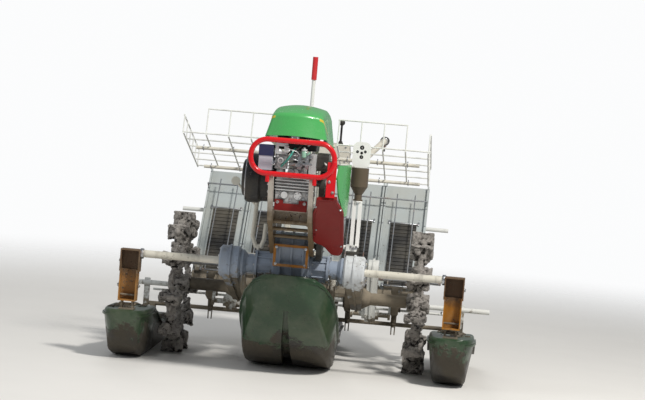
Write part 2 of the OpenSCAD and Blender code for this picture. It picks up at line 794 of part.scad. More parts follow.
// columns: distance behind the nose, half width, bottom, deck
centre_sections = [[0, 50, 362, 410], [8, 80, 332, 412], [26, 114, 286, 406], [58, 146, 232, 386], [100,
    172, 176, 352],
    [150, 188, 126, 308], [205, 197, 84, 258], [270, 198, 50, 214], [350, 198, 22, 172], [440, 198, 6, 144],
    [540, 188, 0, 126], [640, centre_float_tail_hw, 0, tail_deck_z],
    [centre_float_l - 60, centre_float_tail_hw, 0, tail_deck_z], [centre_float_l,
        centre_float_tail_hw - 20, 14, 96]];
// columns: distance behind the nose, half width, bottom, top
keel_slot = [[36, 10, 200, 280], [100, 17, 120, 208], [205, 22, 40, 116], [350, 26, -4, 46], [500, 26, -4,
    20]];
side_nose_y = pivot_y - 60;
side_sections = [[0, 40, 158, side_deck_z - 5], [7, 60, 132, side_deck_z], [24, 76, 96, side_deck_z],
    [60, 89, 54, side_deck_z], [110, side_float_hw, 22, side_deck_z], [180, side_float_hw, 4, side_deck_z],
    [300, side_float_hw, 0, side_deck_z - 4], [430, side_float_hw, 0, 150], [540, side_float_hw, 0,
        tail_deck_z],
    [side_float_l - 50, side_float_hw, 0, tail_deck_z], [side_float_l, side_float_hw - 16, 12, 100]];

module float_body(x, nose, sections, flare) {
    loft([for (q = sections)
        float_ring(x, nose + q[0], q[1], q[2], q[3], min(float_corner_r, (q[3] - q[2]) / 2 - 1), flare)]);
    loft([for (i = [1:len(sections) - 2]) let (q = sections[i])
        lip_ring(x, nose + q[0], q[1] + lip_w, q[3] - float_corner_r - lip_h)]);
}

module centre_float() {
    color(float_green)
        difference() {
            float_body(0, centre_nose_y, centre_sections, 0.1);
            loft([for (q = keel_slot)
                [for (p = [[q[1], q[2]], [q[1] * 0.7, q[3]], [-q[1] * 0.7, q[3]], [-q[1], q[2]]])
                    [p[0], centre_nose_y + q[0], p[1]]]]);
        }
}

module side_floats() {
    color(float_green) both_sides() float_body(side_float_x, side_nose_y, side_sections, 0.3);
}

// Main frame: the spine from the transmission back to the planting drive
drive_y = rail_y - 155;
drive_z = 400;
drive_nose_y = drive_y - 70;

module main_frame() {
    color(cream) box(-spine_hw, spine_hw, spine_y, drive_nose_y, spine_z - spine_hh, spine_z + spine_hh);
}

// Planting drive: a gear case in the middle and a tube to both planting cases
drive_tube_r = 26;
planting_case_x = row_pitch * 1.5;
planting_case_t = 44;
drive_case_r = 56;

module planting_drive() {
    color(cream) {
        x_cylinder(-planting_case_x + planting_case_t / 2, planting_case_x - planting_case_t / 2, drive_y,
            drive_z, drive_tube_r);
        x_cylinder(-48, 48, drive_y, drive_z, drive_case_r);
        box(-spine_hw - 8, spine_hw + 8, drive_nose_y, drive_y, drive_z - 20, spine_z + spine_hh);
    }
}

// Planting cases: upright chain cases between the rows of each pair
crank_shaft_y = drive_y + 40;
crank_shaft_z = 205;
planting_shaft_r = 11;

crank_pin = [crank_shaft_y + 30, crank_shaft_z + 30];
arm_t = 28;
crank_t = 10;

module planting_cases() {
    color([0.86, 0.86, 0.84]) both_sides() {
        x_extrude(planting_case_x - planting_case_t / 2, planting_case_x + planting_case_t / 2)
            polygon(slot_points([drive_y, drive_z], 42, [crank_shaft_y, crank_shaft_z], 34));
        x_extrude(planting_case_x - 4, planting_case_x + 4)
            polygon(slot_points([drive_y, drive_z], 49, [crank_shaft_y, crank_shaft_z], 41));
        x_cylinder(planting_case_x - 36, planting_case_x + 36, crank_shaft_y, crank_shaft_z, 22);
        x_cylinder(planting_case_x - row_pitch / 2 + arm_t / 2, planting_case_x + row_pitch / 2 - arm_t / 2,
            crank_shaft_y, crank_shaft_z, planting_shaft_r);
        for (x = [planting_case_x - row_pitch / 2 + arm_t / 2,
            planting_case_x + row_pitch / 2 - arm_t / 2 - crank_t])
            x_extrude(x, x + crank_t)
                polygon(slot_points([crank_shaft_y, crank_shaft_z], 20, crank_pin, 15));
    }
}

// Planting arms: crank, arm, rocker and forked claw, one for each row
arm_tail = [crank_shaft_y - 22, crank_shaft_z + 108];
arm_nose = [crank_shaft_y + 66, crank_shaft_z + 8];
claw_tip = [crank_shaft_y + 80, crank_shaft_z - 90];

module planting_arm() {
    x_extrude(-arm_t / 2, arm_t / 2) polygon(slot_points(arm_tail, 16, crank_pin, 24));
    x_extrude(-arm_t / 2, arm_t / 2) polygon(slot_points(crank_pin, 24, arm_nose, 13));
    x_cylinder(-arm_t / 2 - 3, arm_t / 2, arm_tail[0], arm_tail[1], 9);
    rod([0, arm_nose[0], arm_nose[1]], [0, claw_tip[0] - 10, claw_tip[1] + 34], 5);
    x_extrude(-12, 12)
        polygon([arm_nose + [4, 2], arm_nose + [14, -8], claw_tip + [4, 52], claw_tip + [-2, 52]]);
    for (s = [-1, 1]) rod([s * 8, claw_tip[0] + 1, claw_tip[1] + 56], [s * 7, claw_tip[0], claw_tip[1]], 2.6);
}

module planting_arms() {
    color(case_grey) both_sides()
        for (s = [-1, 1])
            translate([planting_case_x + s * row_pitch / 2, 0, 0]) planting_arm();
}

// Lower and upper slide rails that the platform moves on
rail_z = 246;
upper_s = 430;
platform_y = rail_y + 6;
platform_z = rail_z + rail_r + 9;
panel_t = 8;
panel_rib_h = 22;
upper_rail_r = 9;
slope_dir = [cos(platform_slope), sin(platform_slope)];
slope_up = [-sin(platform_slope), cos(platform_slope)];
upper_rail = [platform_y, platform_z] + upper_s * slope_dir - (upper_rail_r + seat_gap + 14) * slope_up;
handle_x = 130;
foot_bend = [drive_y, 205];
rail_bend = [rail_y + 105, 165];
back_bend = [rail_y + 545, 540];

low_slope = (rail_bend[1] - foot_bend[1]) / (rail_bend[0] - foot_bend[0]);
high_slope = (back_bend[1] - rail_bend[1]) / (back_bend[0] - rail_bend[0]);

// Height of the handle tube's middle where it runs under the platform
function tube_z(y) =
    y < rail_bend[0] ? foot_bend[1] + low_slope * (y - foot_bend[0])
        : rail_bend[1] + high_slope * (y - rail_bend[0]);

hanger_x = 690;

module slide_rails() {
    color(cream) {
        x_cylinder(-rail_l / 2, rail_l / 2, rail_y, rail_z, rail_r);
        x_cylinder(-rail_l / 2 + 150, rail_l / 2 - 150, rail_y - 4, rail_z - 26, 5);
        x_cylinder(-600, 600, upper_rail[0], upper_rail[1], upper_rail_r);
        both_sides() {
            box(hanger_x - 12, hanger_x + 12, rail_y + 2, rail_y + 14, tail_deck_z, rail_z + 20);
            box(hanger_x - 17, hanger_x + 17, rail_y - 18, rail_y + 30, tail_deck_z, tail_deck_z + 5);
            difference() {
                box(handle_x - 6, handle_x + 6, rail_y - 14, rail_y + 14, tube_z(rail_y), rail_z);
                rod([handle_x, foot_bend[0], foot_bend[1]], [handle_x, rail_bend[0], rail_bend[1]],
                    handle_r + seat_gap);
            }
            difference() {
                rod([handle_x, upper_rail[0], tube_z(upper_rail[0])], [handle_x, upper_rail[0],
                    upper_rail[1]], 8);
                rod([handle_x, rail_bend[0], rail_bend[1]], [handle_x, back_bend[0], back_bend[1]],
                    handle_r + seat_gap);
            }
        }
    }
}

// Seedling platform: two pairs of lanes with ribs, a lower lip and shoes on the rails
lane_centres = [-2 * row_pitch, -row_pitch, row_pitch, 2 * row_pitch];
rib_w = 8;
platform_hw = 2 * row_pitch + lane_w / 2 + rib_w + 2;

module on_platform() {
    translate([0, platform_y, platform_z]) rotate([platform_slope, 0, 0]) children();
}

module platform() {
    color([0.78, 0.80, 0.80]) {
        on_platform() {
            box(-platform_hw, platform_hw, 0, platform_l, 0, panel_t);
            for (x = lane_centres, s = [-1, 1])
                box(x + s * (lane_w / 2 + rib_w / 2) - rib_w / 2,
                    x + s * (lane_w / 2 + rib_w / 2) + rib_w / 2,
                    3, platform_l - 3, panel_t - 1, panel_t + panel_rib_h);
            box(4 - platform_hw, platform_hw - 4, upper_s - 16, upper_s + 16, -14, 1);
        }
        box(4 - platform_hw, platform_hw - 4, rail_y - rail_r, platform_y + 4, rail_z + rail_r + seat_gap,
            platform_z + 3);
    }
}

// Wire rods that hold the mats down
rod_lift = 52;

module mat_rods() {
    color(steel) on_platform() {
        x_cylinder(-590, 590, 60, panel_t + rod_lift, 9);
        x_cylinder(-platform_hw + 2, platform_hw - 2, platform_l - 120, panel_t + rod_lift, 3.5);
        for (x = lane_centres, k = [-1, 1])
            rod([x + k * 40, 30, panel_t + rod_lift], [x + k * 40, platform_l - 90, panel_t + rod_lift], 2.5);
        for (x = [-platform_hw + 6, platform_hw - 6], s = [60, platform_l - 120])
            rod([x, s, panel_t + panel_rib_h], [x, s, panel_t + rod_lift], 3.5);
    }
}

// Handle frame from the planting drive, under the platform and up to the grips
knee_z = 800;
handle_knee_setback = 625;
handle_knee_y = rail_y + handle_knee_setback;

module handle_frame() {
    color(cream) {
        both_sides()
            bent_bar([[handle_x, drive_y, drive_z - drive_tube_r - seat_gap], [handle_x, foot_bend[0],
                foot_bend[1]],
                [handle_x, rail_bend[0], rail_bend[1]], [handle_x, back_bend[0], back_bend[1]],
                [handle_x + 15, handle_knee_y, knee_z], [grip_spread / 2, rear_y - 260, grip_z],
                [grip_spread / 2, rear_y - 3, grip_z]], handle_r);
        x_cylinder(-handle_x - 10, handle_x + 10, handle_knee_y, knee_z, 11);
    }
}

grip_l = 125;

module grips() {
    color(black) both_sides()
        difference() {
            translate([grip_spread / 2, rear_y, grip_z]) rotate([90, 0, 0])
                cylinder(h = grip_l, r = grip_r, $fn = round_fn);
            translate([grip_spread / 2, rear_y - 2.5, grip_z]) rotate([90, 0, 0])
                cylinder(h = grip_l, r = handle_r + running_gap, $fn = round_fn);
        }
}

// Console between the handles, with three levers
console_z = knee_z + 11 + seat_gap;

console_hw = 115;
console_h = 96;
console_rear_h = 60;
console_front = handle_knee_y - 70;
console_rear = handle_knee_y + 60;

module console() {
    color(cream)
        x_extrude(-console_hw, console_hw)
            polygon([[console_front, console_z], [console_rear, console_z],
                [console_rear, console_z + console_rear_h], [console_front + 30, console_z + console_h],
                [console_front, console_z + console_h]]);
}

module levers() {
    top = console_z + console_h;
    color(black)
        for (x = [-70, 0, 70]) {
            translate([x, handle_knee_y - 55, top]) cylinder(h = 90, r = 5, $fn = 24);
            translate([x, handle_knee_y - 55, top + 98]) sphere(r = 14, $fn = 32);
        }
}

// Frame that carries the spare racks and the bonnet's hinge rod
rack_slope = 15.5;
rack_front_y = pivot_y + 150;
rack_front_z = 931;
rack_inner_x = 125;
post_x = 60;
post_y = rack_front_y + 175;
rear_bar_y = rack_front_y + 490;
bar_r = 11;
spine_top = spine_z + spine_hh;
wire_drop = 2 * wire_r - 0.6;
socket_h = 24;

function rack_floor_z(y) = rack_front_z - (y - rack_front_y) * tan(rack_slope);
function bar_z(y) = rack_floor_z(y) - (wire_drop + wire_r + bar_r + seat_gap) / cos(rack_slope);

module rack_frame() {
    color(cream) {
        box(-post_x - 16, post_x + 16, post_y - 20, post_y + 20, spine_top, spine_top + 8);
        box(-post_x - 10, post_x + 10, hinge_y - 20, hinge_y + 20, spine_top, spine_top + 8);
        x_cylinder(-rack_inner_x - rack_w + 40, rack_inner_x + rack_w - 40, post_y, bar_z(post_y), bar_r);
        x_cylinder(-rack_inner_x - rack_w + 40, rack_inner_x + rack_w - 40, rear_bar_y, bar_z(rear_bar_y),
            bar_r);
        x_cylinder(-122, 122, hinge_y, hinge_z, hinge_r);
        translate([0, post_y, bar_z(post_y)]) cylinder(h = bar_r + socket_h, r = 12.5, $fn = round_fn);
        both_sides() {
            rod([post_x, post_y, spine_top + 4], [post_x, post_y, bar_z(post_y) + 3], 13);
            rod([post_x, post_y, bar_z(rear_bar_y) - 60], [post_x, rear_bar_y, bar_z(rear_bar_y)], bar_r);
            rod([post_x - 10, hinge_y, spine_top + 4], [post_x - 10, hinge_y, hinge_z], 9);
        }
    }
}

// Spare seedling racks: wire trays that slope down to the rear
rack_front_h = 104;
rack_side_h = 72;
cross_wires = 6;
long_wires = 5;

module spare_rack() {
    x0 = rack_inner_x;
    x1 = rack_inner_x + rack_w;
    thin_r = wire_r - 0.4;
    wall_x1 = x0 + 5 + (long_wires - 2) * (rack_w - 10) / (long_wires - 1);
    translate([0, rack_front_y, rack_front_z])
        rotate([-rack_slope, 0, 0]) {
            for (i = [0:cross_wires - 1])
                x_cylinder(x0, x1, i * rack_l / (cross_wires - 1), 0, wire_r);
            for (i = [0:long_wires - 1])
                rod([x0 + 5 + i * (rack_w - 10) / (long_wires - 1), -4, -wire_drop],
                    [x0 + 5 + i * (rack_w - 10) / (long_wires - 1), rack_l + 4, -wire_drop], wire_r);
            x_cylinder(x0, wall_x1 + 2, 0, rack_front_h, wire_r);
            for (i = [0:long_wires - 2])
                rod([x0 + 5 + i * (rack_w - 10) / (long_wires - 1), 0, 1],
                    [x0 + 5 + i * (rack_w - 10) / (long_wires - 1), 0, rack_front_h - 1], thin_r);
            rod([x1, -1, rack_side_h], [x1, rack_l + 4, rack_side_h], wire_r);
            for (i = [0:cross_wires - 1])
                rod([x1 - 3, i * rack_l / (cross_wires - 1), 1], [x1 - 3, i * rack_l / (cross_wires - 1),
                    rack_side_h],
                    thin_r);
        }
}

module spare_racks() {
    color([0.92, 0.92, 0.90]) both_sides() spare_rack();
}

// Sighting pole in the socket behind the bonnet
pole_top = 1280;
sleeve_l = 95;
pole_r = 7.5;

module sighting_pole() {
    foot = bar_z(post_y) + bar_r + socket_h;
    color("white") translate([0, post_y, foot]) cylinder(h = pole_top - foot - 10, r = pole_r, $fn = 24);
    color(guard_red) translate([0, post_y, pole_top - sleeve_l]) cylinder(h = sleeve_l, r = 11, $fn = 24);
}

// Marker arm folded upright on the machine's left
marker_x = 238;
marker_y = pivot_y + 25;
marker_z = pivot_z + 94;

module marker_bracket() {
    color(cream) {
        box(gearbox_hw, gearbox_hw + 6, marker_y - 58, marker_y + 9, marker_z - 26, marker_z + 9);
        x_cylinder(gearbox_hw + 5, marker_x - 24, marker_y, marker_z, 9);
        for (s = [-1, 1])
            box(marker_x - 26, marker_x + 12, marker_y + s * 22 - 4, marker_y + s * 22 + 4, marker_z - 12,
                marker_z + 12);
        box(marker_x - 30, marker_x - 20, marker_y - 26, marker_y + 26, marker_z - 12, marker_z + 12);
        rod([marker_x, marker_y - 26, marker_z], [marker_x, marker_y + 26, marker_z], 5);
    }
}

module marker_arm() {
    color([0.9, 0.9, 0.88]) {
        difference() {
            union() {
                translate([marker_x, marker_y + 17, marker_z]) rotate([90, 0, 0])
                    cylinder(h = 34, r = 11, $fn = round_fn);
                for (s = [-1, 1])
                    box(marker_x + s * 11.5 - 7.5, marker_x + s * 11.5 + 7.5, marker_y - 5, marker_y + 5,
                        marker_z + 4, marker_z + 196);
            }
            translate([marker_x, marker_y + 18, marker_z]) rotate([90, 0, 0])
                cylinder(h = 36, r = 5 + running_gap, $fn = round_fn);
        }
        translate([marker_x, marker_y, marker_z + 186]) cylinder(h = 34, r = 15, $fn = round_fn);
        translate([marker_x, marker_y, marker_z + 218]) cylinder(h = 30, r1 = 17, r2 = 35, $fn = round_fn);
        translate([marker_x, marker_y, marker_z + 247]) cylinder(h = 76, r = 35, $fn = round_fn);
        difference() {
            translate([marker_x, marker_y + 6, marker_z + 374])
                rotate([90, 0, 0]) linear_extrude(12) polygon(round_rect(36, 52, 24));
            for (q = [[0, 30, 9], [-17, 12, 6], [0, 8, 6], [14, 14, 6], [0, -8, 8]])
                translate([marker_x + q[0], marker_y - 3, marker_z + 374 + q[1]])
                    rotate([90, 0, 0]) cylinder(h = 6, r = q[2], $fn = 24);
        }
    }
}

// Links between the floats and the frame
shaft_y = rail_y + 5;
shaft_r = 9;
shaft_z = tube_z(shaft_y) - (handle_r + shaft_r + seat_gap) * sqrt(1 + low_slope * low_slope);

module float_foot(x) {
    box(x - 12, x + 12, shaft_y - 20, shaft_y + 20, tail_deck_z, shaft_z - 1);
}

link_x = bracket_x + bracket_w / 2;

module float_links() {
    color(cream) {
        x_cylinder(14 - hanger_x, hanger_x - 14, shaft_y, shaft_z, shaft_r);
        both_sides() {
            float_foot(side_float_x);
            float_foot(handle_x);
            box(link_x - 30, link_x + 30, pivot_y - 34, pivot_y + 26, side_deck_z, side_deck_z + 5);
            for (s = [-1, 1])
                box(link_x + s * 22 - 4, link_x + s * 22 + 4, pivot_y - 18, pivot_y + 14, side_deck_z,
                    bracket_low);
            x_cylinder(link_x - 34, link_x + 34, pivot_y - 2, (side_deck_z + 5 + bracket_low) / 2, 6);
        }
    }
}

// Bent stay on the right axle case, with a small disc on its side arm
stay_r = 8.5;
stay_x = -158;

module stay_tube() {
    y = pivot_y;
    low = pivot_z + flange_r + 12;
    foot_x = -joint_x - joint_t / 2;
    color(cream) {
        bent_bar([[stay_x - 3, y, 705], [stay_x - 11, y, low + 40], [foot_x - 10, y, low], [foot_x + 12,
            y, low],
            [foot_x + 22, y, low + 30], [foot_x + 25, y, 594]], stay_r);
        difference() {
            box(foot_x - 4, foot_x + 4, y - 12, y + 12, pivot_z + axle_case_r, low);
            x_cylinder(foot_x - 20, foot_x + 20, y, pivot_z, flange_r + seat_gap);
        }
        rod([stay_x - 4, y, 660], [stay_x - 92, y, 752], 5);
        translate([stay_x - 96, y + 4, 756]) rotate([90, 0, 0]) cylinder(h = 10, r = 17.5, $fn = round_fn);
    }
}

transmission_case();
transmission_guard();
axle_cases();
engine_mount();
bed_plate();
front_guard();
crankcase();
cylinder_block();
carburettor();
recoil_starter();
air_cleaner();
muffler();
fuel_tank();
belt_drive();
belt_cover();
side_panel();
bonnet();
swing_case_left();
swing_case_right();
axle_left();
axle_right();
wheel_left();
wheel_right();
cross_pipes();
float_brackets();
centre_float();
side_floats();
float_links();
main_frame();
planting_drive();
planting_cases();
planting_arms();
slide_rails();
platform();
mat_rods();
handle_frame();
grips();
console();
levers();
rack_frame();
spare_racks();
sighting_pole();
marker_bracket();
marker_arm();
stay_tube();
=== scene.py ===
# %% [markdown]
# # A walk-behind rice transplanter, dressed for its picture
# The solids come from the CAD model as a fixed frame. Here they get their paint, rust, grease and mud,
# and the small things that a maker bolts on last: screws, a hose, a lead, feed belts and a skin of paddy mud.
# Everything is in metres: X to the machine's left, Y to its rear, Z up.

# %% Load the frame
import json
import math
import random

import bpy
import bmesh
from mathutils import Matrix, Vector

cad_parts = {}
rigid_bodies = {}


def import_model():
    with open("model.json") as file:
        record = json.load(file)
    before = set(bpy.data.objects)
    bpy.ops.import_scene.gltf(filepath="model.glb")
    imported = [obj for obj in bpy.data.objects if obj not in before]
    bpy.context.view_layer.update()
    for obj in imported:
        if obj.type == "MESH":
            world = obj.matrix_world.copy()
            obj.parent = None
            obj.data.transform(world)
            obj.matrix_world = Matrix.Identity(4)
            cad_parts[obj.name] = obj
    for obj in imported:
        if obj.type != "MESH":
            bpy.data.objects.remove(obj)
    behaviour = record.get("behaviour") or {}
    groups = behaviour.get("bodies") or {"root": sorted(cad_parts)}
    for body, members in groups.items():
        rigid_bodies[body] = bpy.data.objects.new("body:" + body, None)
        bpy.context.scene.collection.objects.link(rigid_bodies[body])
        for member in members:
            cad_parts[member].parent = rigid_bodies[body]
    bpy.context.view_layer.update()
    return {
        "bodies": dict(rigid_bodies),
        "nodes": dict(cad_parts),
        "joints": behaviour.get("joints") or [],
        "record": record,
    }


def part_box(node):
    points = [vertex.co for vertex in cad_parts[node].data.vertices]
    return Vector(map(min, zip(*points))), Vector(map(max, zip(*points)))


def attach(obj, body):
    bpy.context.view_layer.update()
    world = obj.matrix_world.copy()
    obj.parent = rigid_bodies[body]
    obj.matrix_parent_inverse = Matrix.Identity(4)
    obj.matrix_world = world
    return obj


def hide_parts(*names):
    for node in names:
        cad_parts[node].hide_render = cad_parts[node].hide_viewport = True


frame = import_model()
nodes = frame["nodes"]

# %% [markdown]
# The camera stands low in the field, nine metres before the machine, with a long lens, a little to the
# left and not quite level. A look direction and a roll are easier to reason about than Euler angles, so
# the three axes of the camera are worked out first and put in a matrix as its columns.

# %% Camera
camera_place = Vector((0.675, -9.282, 1.137))
camera_yaw, camera_pitch, camera_roll = (math.radians(a) for a in (3.83, -2.84, 4.75))
image_width, focal_px = 645, 2164.0

ahead = Vector((-math.sin(camera_yaw) * math.cos(camera_pitch), math.cos(camera_yaw) * math.cos(camera_pitch),
                math.sin(camera_pitch)))
level = Vector((math.cos(camera_yaw), math.sin(camera_yaw), 0))
upright = level.cross(ahead)
view_right = level * math.cos(camera_roll) + upright * math.sin(camera_roll)
view_up = upright * math.cos(camera_roll) - level * math.sin(camera_roll)
lens = bpy.data.cameras.new("view")
lens.sensor_fit, lens.sensor_width = "HORIZONTAL", 36.0
lens.lens = focal_px / image_width * lens.sensor_width
camera = bpy.data.objects.new("view", lens)
camera.matrix_world = Matrix((view_right, view_up, -ahead)).transposed().to_4x4()
camera.location = camera_place
bpy.context.scene.collection.objects.link(camera)
bpy.context.scene.camera = camera
print("lens", round(lens.lens, 1), "mm")

# %% [markdown]
# Shader maths reads best as maths. `Value` wraps one output socket, and each operator on it adds a Math
# node, so `1 - mask * 0.5` is written as it is thought. `Finish` makes a material and gives one method for
# every other node. Colours are written as six hex digits.

# %% Shader helpers
class Value:
    def __init__(self, finish, socket):
        self.finish, self.socket = finish, socket

    def math(self, operation, other=None, swap=False):
        pair = (other, self) if swap else (self, other)
        inputs = {i: v for i, v in enumerate(pair) if v is not None}
        return self.finish.add("ShaderNodeMath", {"operation": operation}, inputs)

    def __add__(self, other):
        return self.math("ADD", other)

    __radd__ = __add__

    def __sub__(self, other):
        return self.math("SUBTRACT", other)

    def __mul__(self, other):
        return self.math("MULTIPLY", other)

    def __rsub__(self, other):
        return self.math("SUBTRACT", other, swap=True)

    def __abs__(self):
        return self.math("ABSOLUTE")

    def most(self, other):
        return self.math("MAXIMUM", other)

    def ramp(self, low, high, smooth=True):
        kind = "SMOOTHSTEP" if smooth else "LINEAR"
        return self.finish.add("ShaderNodeMapRange", {"interpolation_type": kind},
                               {0: self, 1: low, 2: high, 3: 0.0, 4: 1.0})


def colour(text):
    """Six hex digits, made linear for the shader."""
    parts = [int(text[i:i + 2], 16) / 255 for i in (0, 2, 4)]
    return tuple(p / 12.92 if p <= 0.04045 else ((p + 0.055) / 1.055) ** 2.4 for p in parts)


def lift(text, gain, more=0.0):
    """A colour made paler, or darker with a gain below one."""
    return tuple(min(1, part * gain + more) for part in colour(text))


class Finish:
    def __init__(self, name):
        self.material = bpy.data.materials.new(name)
        self.material.use_nodes = True
        self.tree = self.material.node_tree
        self.shader = self.tree.nodes["Principled BSDF"]
        self.place = self.add("ShaderNodeTexCoord", {}, {}, "Object")

    def put(self, value, socket):
        if isinstance(value, Value):
            self.tree.links.new(value.socket, socket)
        else:
            socket.default_value = value

    def add(self, kind, settings, inputs, output=0):
        node = self.tree.nodes.new(kind)
        for name, value in settings.items():
            setattr(node, name, value)
        for name, value in inputs.items():
            self.put(value, node.inputs[name])
        return Value(self, node.outputs[output])

    def grain(self, scale, detail=3.0, roughness=0.55, stretch=(1, 1, 1), offset=(0, 0, 0)):
        place = self.place
        if (stretch, offset) != ((1, 1, 1), (0, 0, 0)):
            place = self.add("ShaderNodeMapping", {}, {"Vector": place, "Scale": stretch, "Location": offset})
        return self.add("ShaderNodeTexNoise", {}, {"Vector": place, "Scale": scale, "Detail": detail,
                                                   "Roughness": roughness})

    def open_to_light(self, samples, distance):
        """One where light reaches freely, less in gaps and corners."""
        return self.add("ShaderNodeAmbientOcclusion", {"samples": samples}, {"Distance": distance}, 1)

    def axis(self, name):
        return self.add("ShaderNodeSeparateXYZ", {}, {0: self.place}, name)

    def blend(self, share, first, second):
        sides = {}
        for socket, side in ((6, first), (7, second)):
            side = colour(side) if isinstance(side, str) else side
            sides[socket] = side if isinstance(side, Value) else (*side, 1)
        return self.add("ShaderNodeMix", {"data_type": "RGBA", "blend_type": "MIX"}, {0: share, **sides}, 2)

    def link(self, **inputs):
        for name, value in inputs.items():
            self.put(value, self.shader.inputs[name.replace("_", " ")])
        return self.material

    def bump(self, height, distance, strength=1.0, below=None):
        inputs = {"Height": height, "Distance": distance, "Strength": strength}
        if below is not None:
            inputs["Normal"] = below
        return self.add("ShaderNodeBump", {}, inputs)


# %% [markdown]
# The machine works in wet mud, so every finish shares one idea of dirt. Mud reaches high on what is near
# the wheels and the floats and thins out upwards in splashes. Dried mud is pale and rough, wet mud is dark and
# shines. `muddy` lays that over any colour.

# %% Mud over a finish
dry_and_wet_mud, dust = ("8a8070", "3b352c"), "a39a86"


def muddy(finish, base, roughness, reach, soft, grime, tones=dry_and_wet_mud):
    """Adds splashes and grime: returns colour, roughness and the mud's mask."""
    height = finish.axis("Z")
    patches = finish.grain(9.0, 5.0, 0.62)
    flecks = finish.grain(46.0, 3.0, 0.6)
    drops = finish.add("ShaderNodeTexVoronoi", {}, {"Vector": finish.place, "Scale": 75.0}, "Distance")
    line = height + (patches - 0.5) * -0.34 + (flecks - 0.5) * -0.12
    covered = 1 - line.ramp(reach - soft, reach + soft)
    spots = (1 - drops.ramp(0.10, 0.2)) * finish.grain(14.0, 2.0).ramp(0.47, 0.6)
    mask = covered.ramp(0.42, 0.58).most(spots * (1 - height.ramp(reach, reach + 0.5)) * 0.85)
    film = finish.grain(5.0, 6.0, 0.7).ramp(0.38, 0.72) * grime
    wet = finish.grain(6.0, 3.0, 0.5, offset=(3.1, 1.7, 0.4)).ramp(0.45, 0.62)
    mud = finish.blend(wet * 0.8 + (flecks - 0.5) * 0.5, *tones)
    tone = finish.blend(mask, finish.blend(film, base, dust), mud)
    return tone, roughness + film * 0.25 + mask * (0.88 - wet * 0.45 - roughness), mask


# %% [markdown]
# Painted steel on such a machine is brushed by crops, hit by stones and repainted. The chips come from two
# scales of noise, so that they cluster, and a thin pale ring of primer stands round each. A slow wave in the
# coat stops large faces from looking like plastic.

# %% Painted metal
def painted(name, paint, rough=0.34, chips=0.5, under="4a3c33", reach=0.40, soft=0.2, grime=0.35, coat=0.0,
            streaks=0.25, second=None, share=None):
    """`second` is another paint, and `share` gives from the finish how much of it shows at a place."""
    finish = Finish(name)
    worn = finish.grain(85.0, 5.0, 0.65) + (finish.grain(7.0, 2.0) - 0.5) * 0.55
    edge = 0.80 - chips * 0.16
    chip, ring = worn.ramp(edge, edge + 0.015), worn.ramp(edge - 0.025, edge)
    faded = finish.blend(finish.grain(3.5, 3.0, 0.5).ramp(0.35, 0.7) * 0.3, paint, lift(paint, 1.25, 0.015))
    if second:
        faded = finish.blend(share(finish), faded, second)
    runs = finish.grain(22.0, 4.0, 0.6, stretch=(1, 1, 0.08)).ramp(0.5, 0.75) * streaks
    run_down = finish.blend(runs, faded, lift(under, 0.45))
    primed = finish.blend(ring * 0.6, run_down, lift(paint, 0.6, 0.2))
    bare = finish.blend(chip, primed, under)
    tone, roughness, mask = muddy(finish, bare, chip * 0.35 + rough, reach, soft, grime)
    wave = finish.bump(finish.grain(14.0, 2.0), 0.0012, 0.25)
    scars = finish.bump(1 - chip, 0.0005, 0.6, wave)
    crust = finish.bump(mask * (finish.grain(120.0, 5.0, 0.7) * 0.6 + 0.6), 0.0035, 0.9, scars)
    return finish.link(Base_Color=tone, Roughness=roughness, Normal=crust, Specular_IOR_Level=0.28,
                       Coat_Weight=coat, Coat_Roughness=0.12)


# %% [markdown]
# Cast alloy keeps the grain of its mould. Oil creeps out of the joints, catches dust and turns brown in
# blotches. Shade is painted into the engine's corners and gaps, and mud darkens it low down, so it is darker
# there than on its faces.

# %% Cast alloy
def cast(name, metal, rough=0.38, metallic=0.4, stain_and_shade_depth=0.7, reach=0.3, grime=0.2):
    finish = Finish(name)
    sand = finish.grain(420.0, 3.0, 0.6)
    blotch = finish.grain(11.0, 5.0, 0.65)
    corner = finish.open_to_light(6, 0.035)
    # Brown oil stains in blotches, plus painted shade where the occlusion term finds corners and gaps.
    oil_stain_and_shade = ((1 - corner.ramp(0.35, 0.95)) * 1.1 + (blotch - 0.5) * 1.3).ramp(0.3, 0.75) * stain_and_shade_depth
    base = finish.blend(oil_stain_and_shade, metal, "2a2018")
    tone, roughness, mask = muddy(finish, base, rough + (sand - 0.5) * 0.2 - oil_stain_and_shade * 0.12, reach, 0.15, grime)
    pits = finish.bump(sand, 0.0006, 0.35)
    crust = finish.bump(mask * finish.grain(120.0, 5.0, 0.7), 0.003, 0.9, pits)
    return finish.link(Base_Color=tone, Roughness=roughness, Normal=crust,
                       Metallic=(1 - mask) * (1 - oil_stain_and_shade * 0.8) * metallic)


# %% [markdown]
# Moulded plastic has no chips. It scuffs to a paler tone, fades in the sun and takes mud well.

# %% Moulded plastic and rubber
def moulded(name, tint, rough=0.4, reach=0.4, soft=0.2, coat=0.0, grime=0.3, scuffs=0.35, pores=500.0,
            second=None, share=None, tones=dry_and_wet_mud):
    finish = Finish(name)
    faded = finish.blend(finish.grain(4.0, 3.0).ramp(0.35, 0.7) * 0.25, tint, lift(tint, 1.3, 0.012))
    if second:
        faded = finish.blend(share(finish), faded, second)
    lines = finish.grain(60.0, 5.0, 0.7, stretch=(0.15, 1, 1)).ramp(0.60, 0.72)
    scuff = lines * finish.grain(8.0, 2.0).ramp(0.45, 0.65)
    scuffed = finish.blend(scuff * scuffs, faded, lift(tint, 0.7, 0.3))
    tone, roughness, mask = muddy(finish, scuffed, scuff * 0.25 + rough, reach, soft, grime, tones)
    skin = finish.bump(finish.grain(pores, 2.0), 0.0003, 0.3)
    crust = finish.bump(mask * (finish.grain(110.0, 5.0, 0.7) * 0.6 + 0.6), 0.004, 0.9, skin)
    return finish.link(Base_Color=tone, Roughness=roughness, Normal=crust, Coat_Weight=coat, Coat_Roughness=0.06)
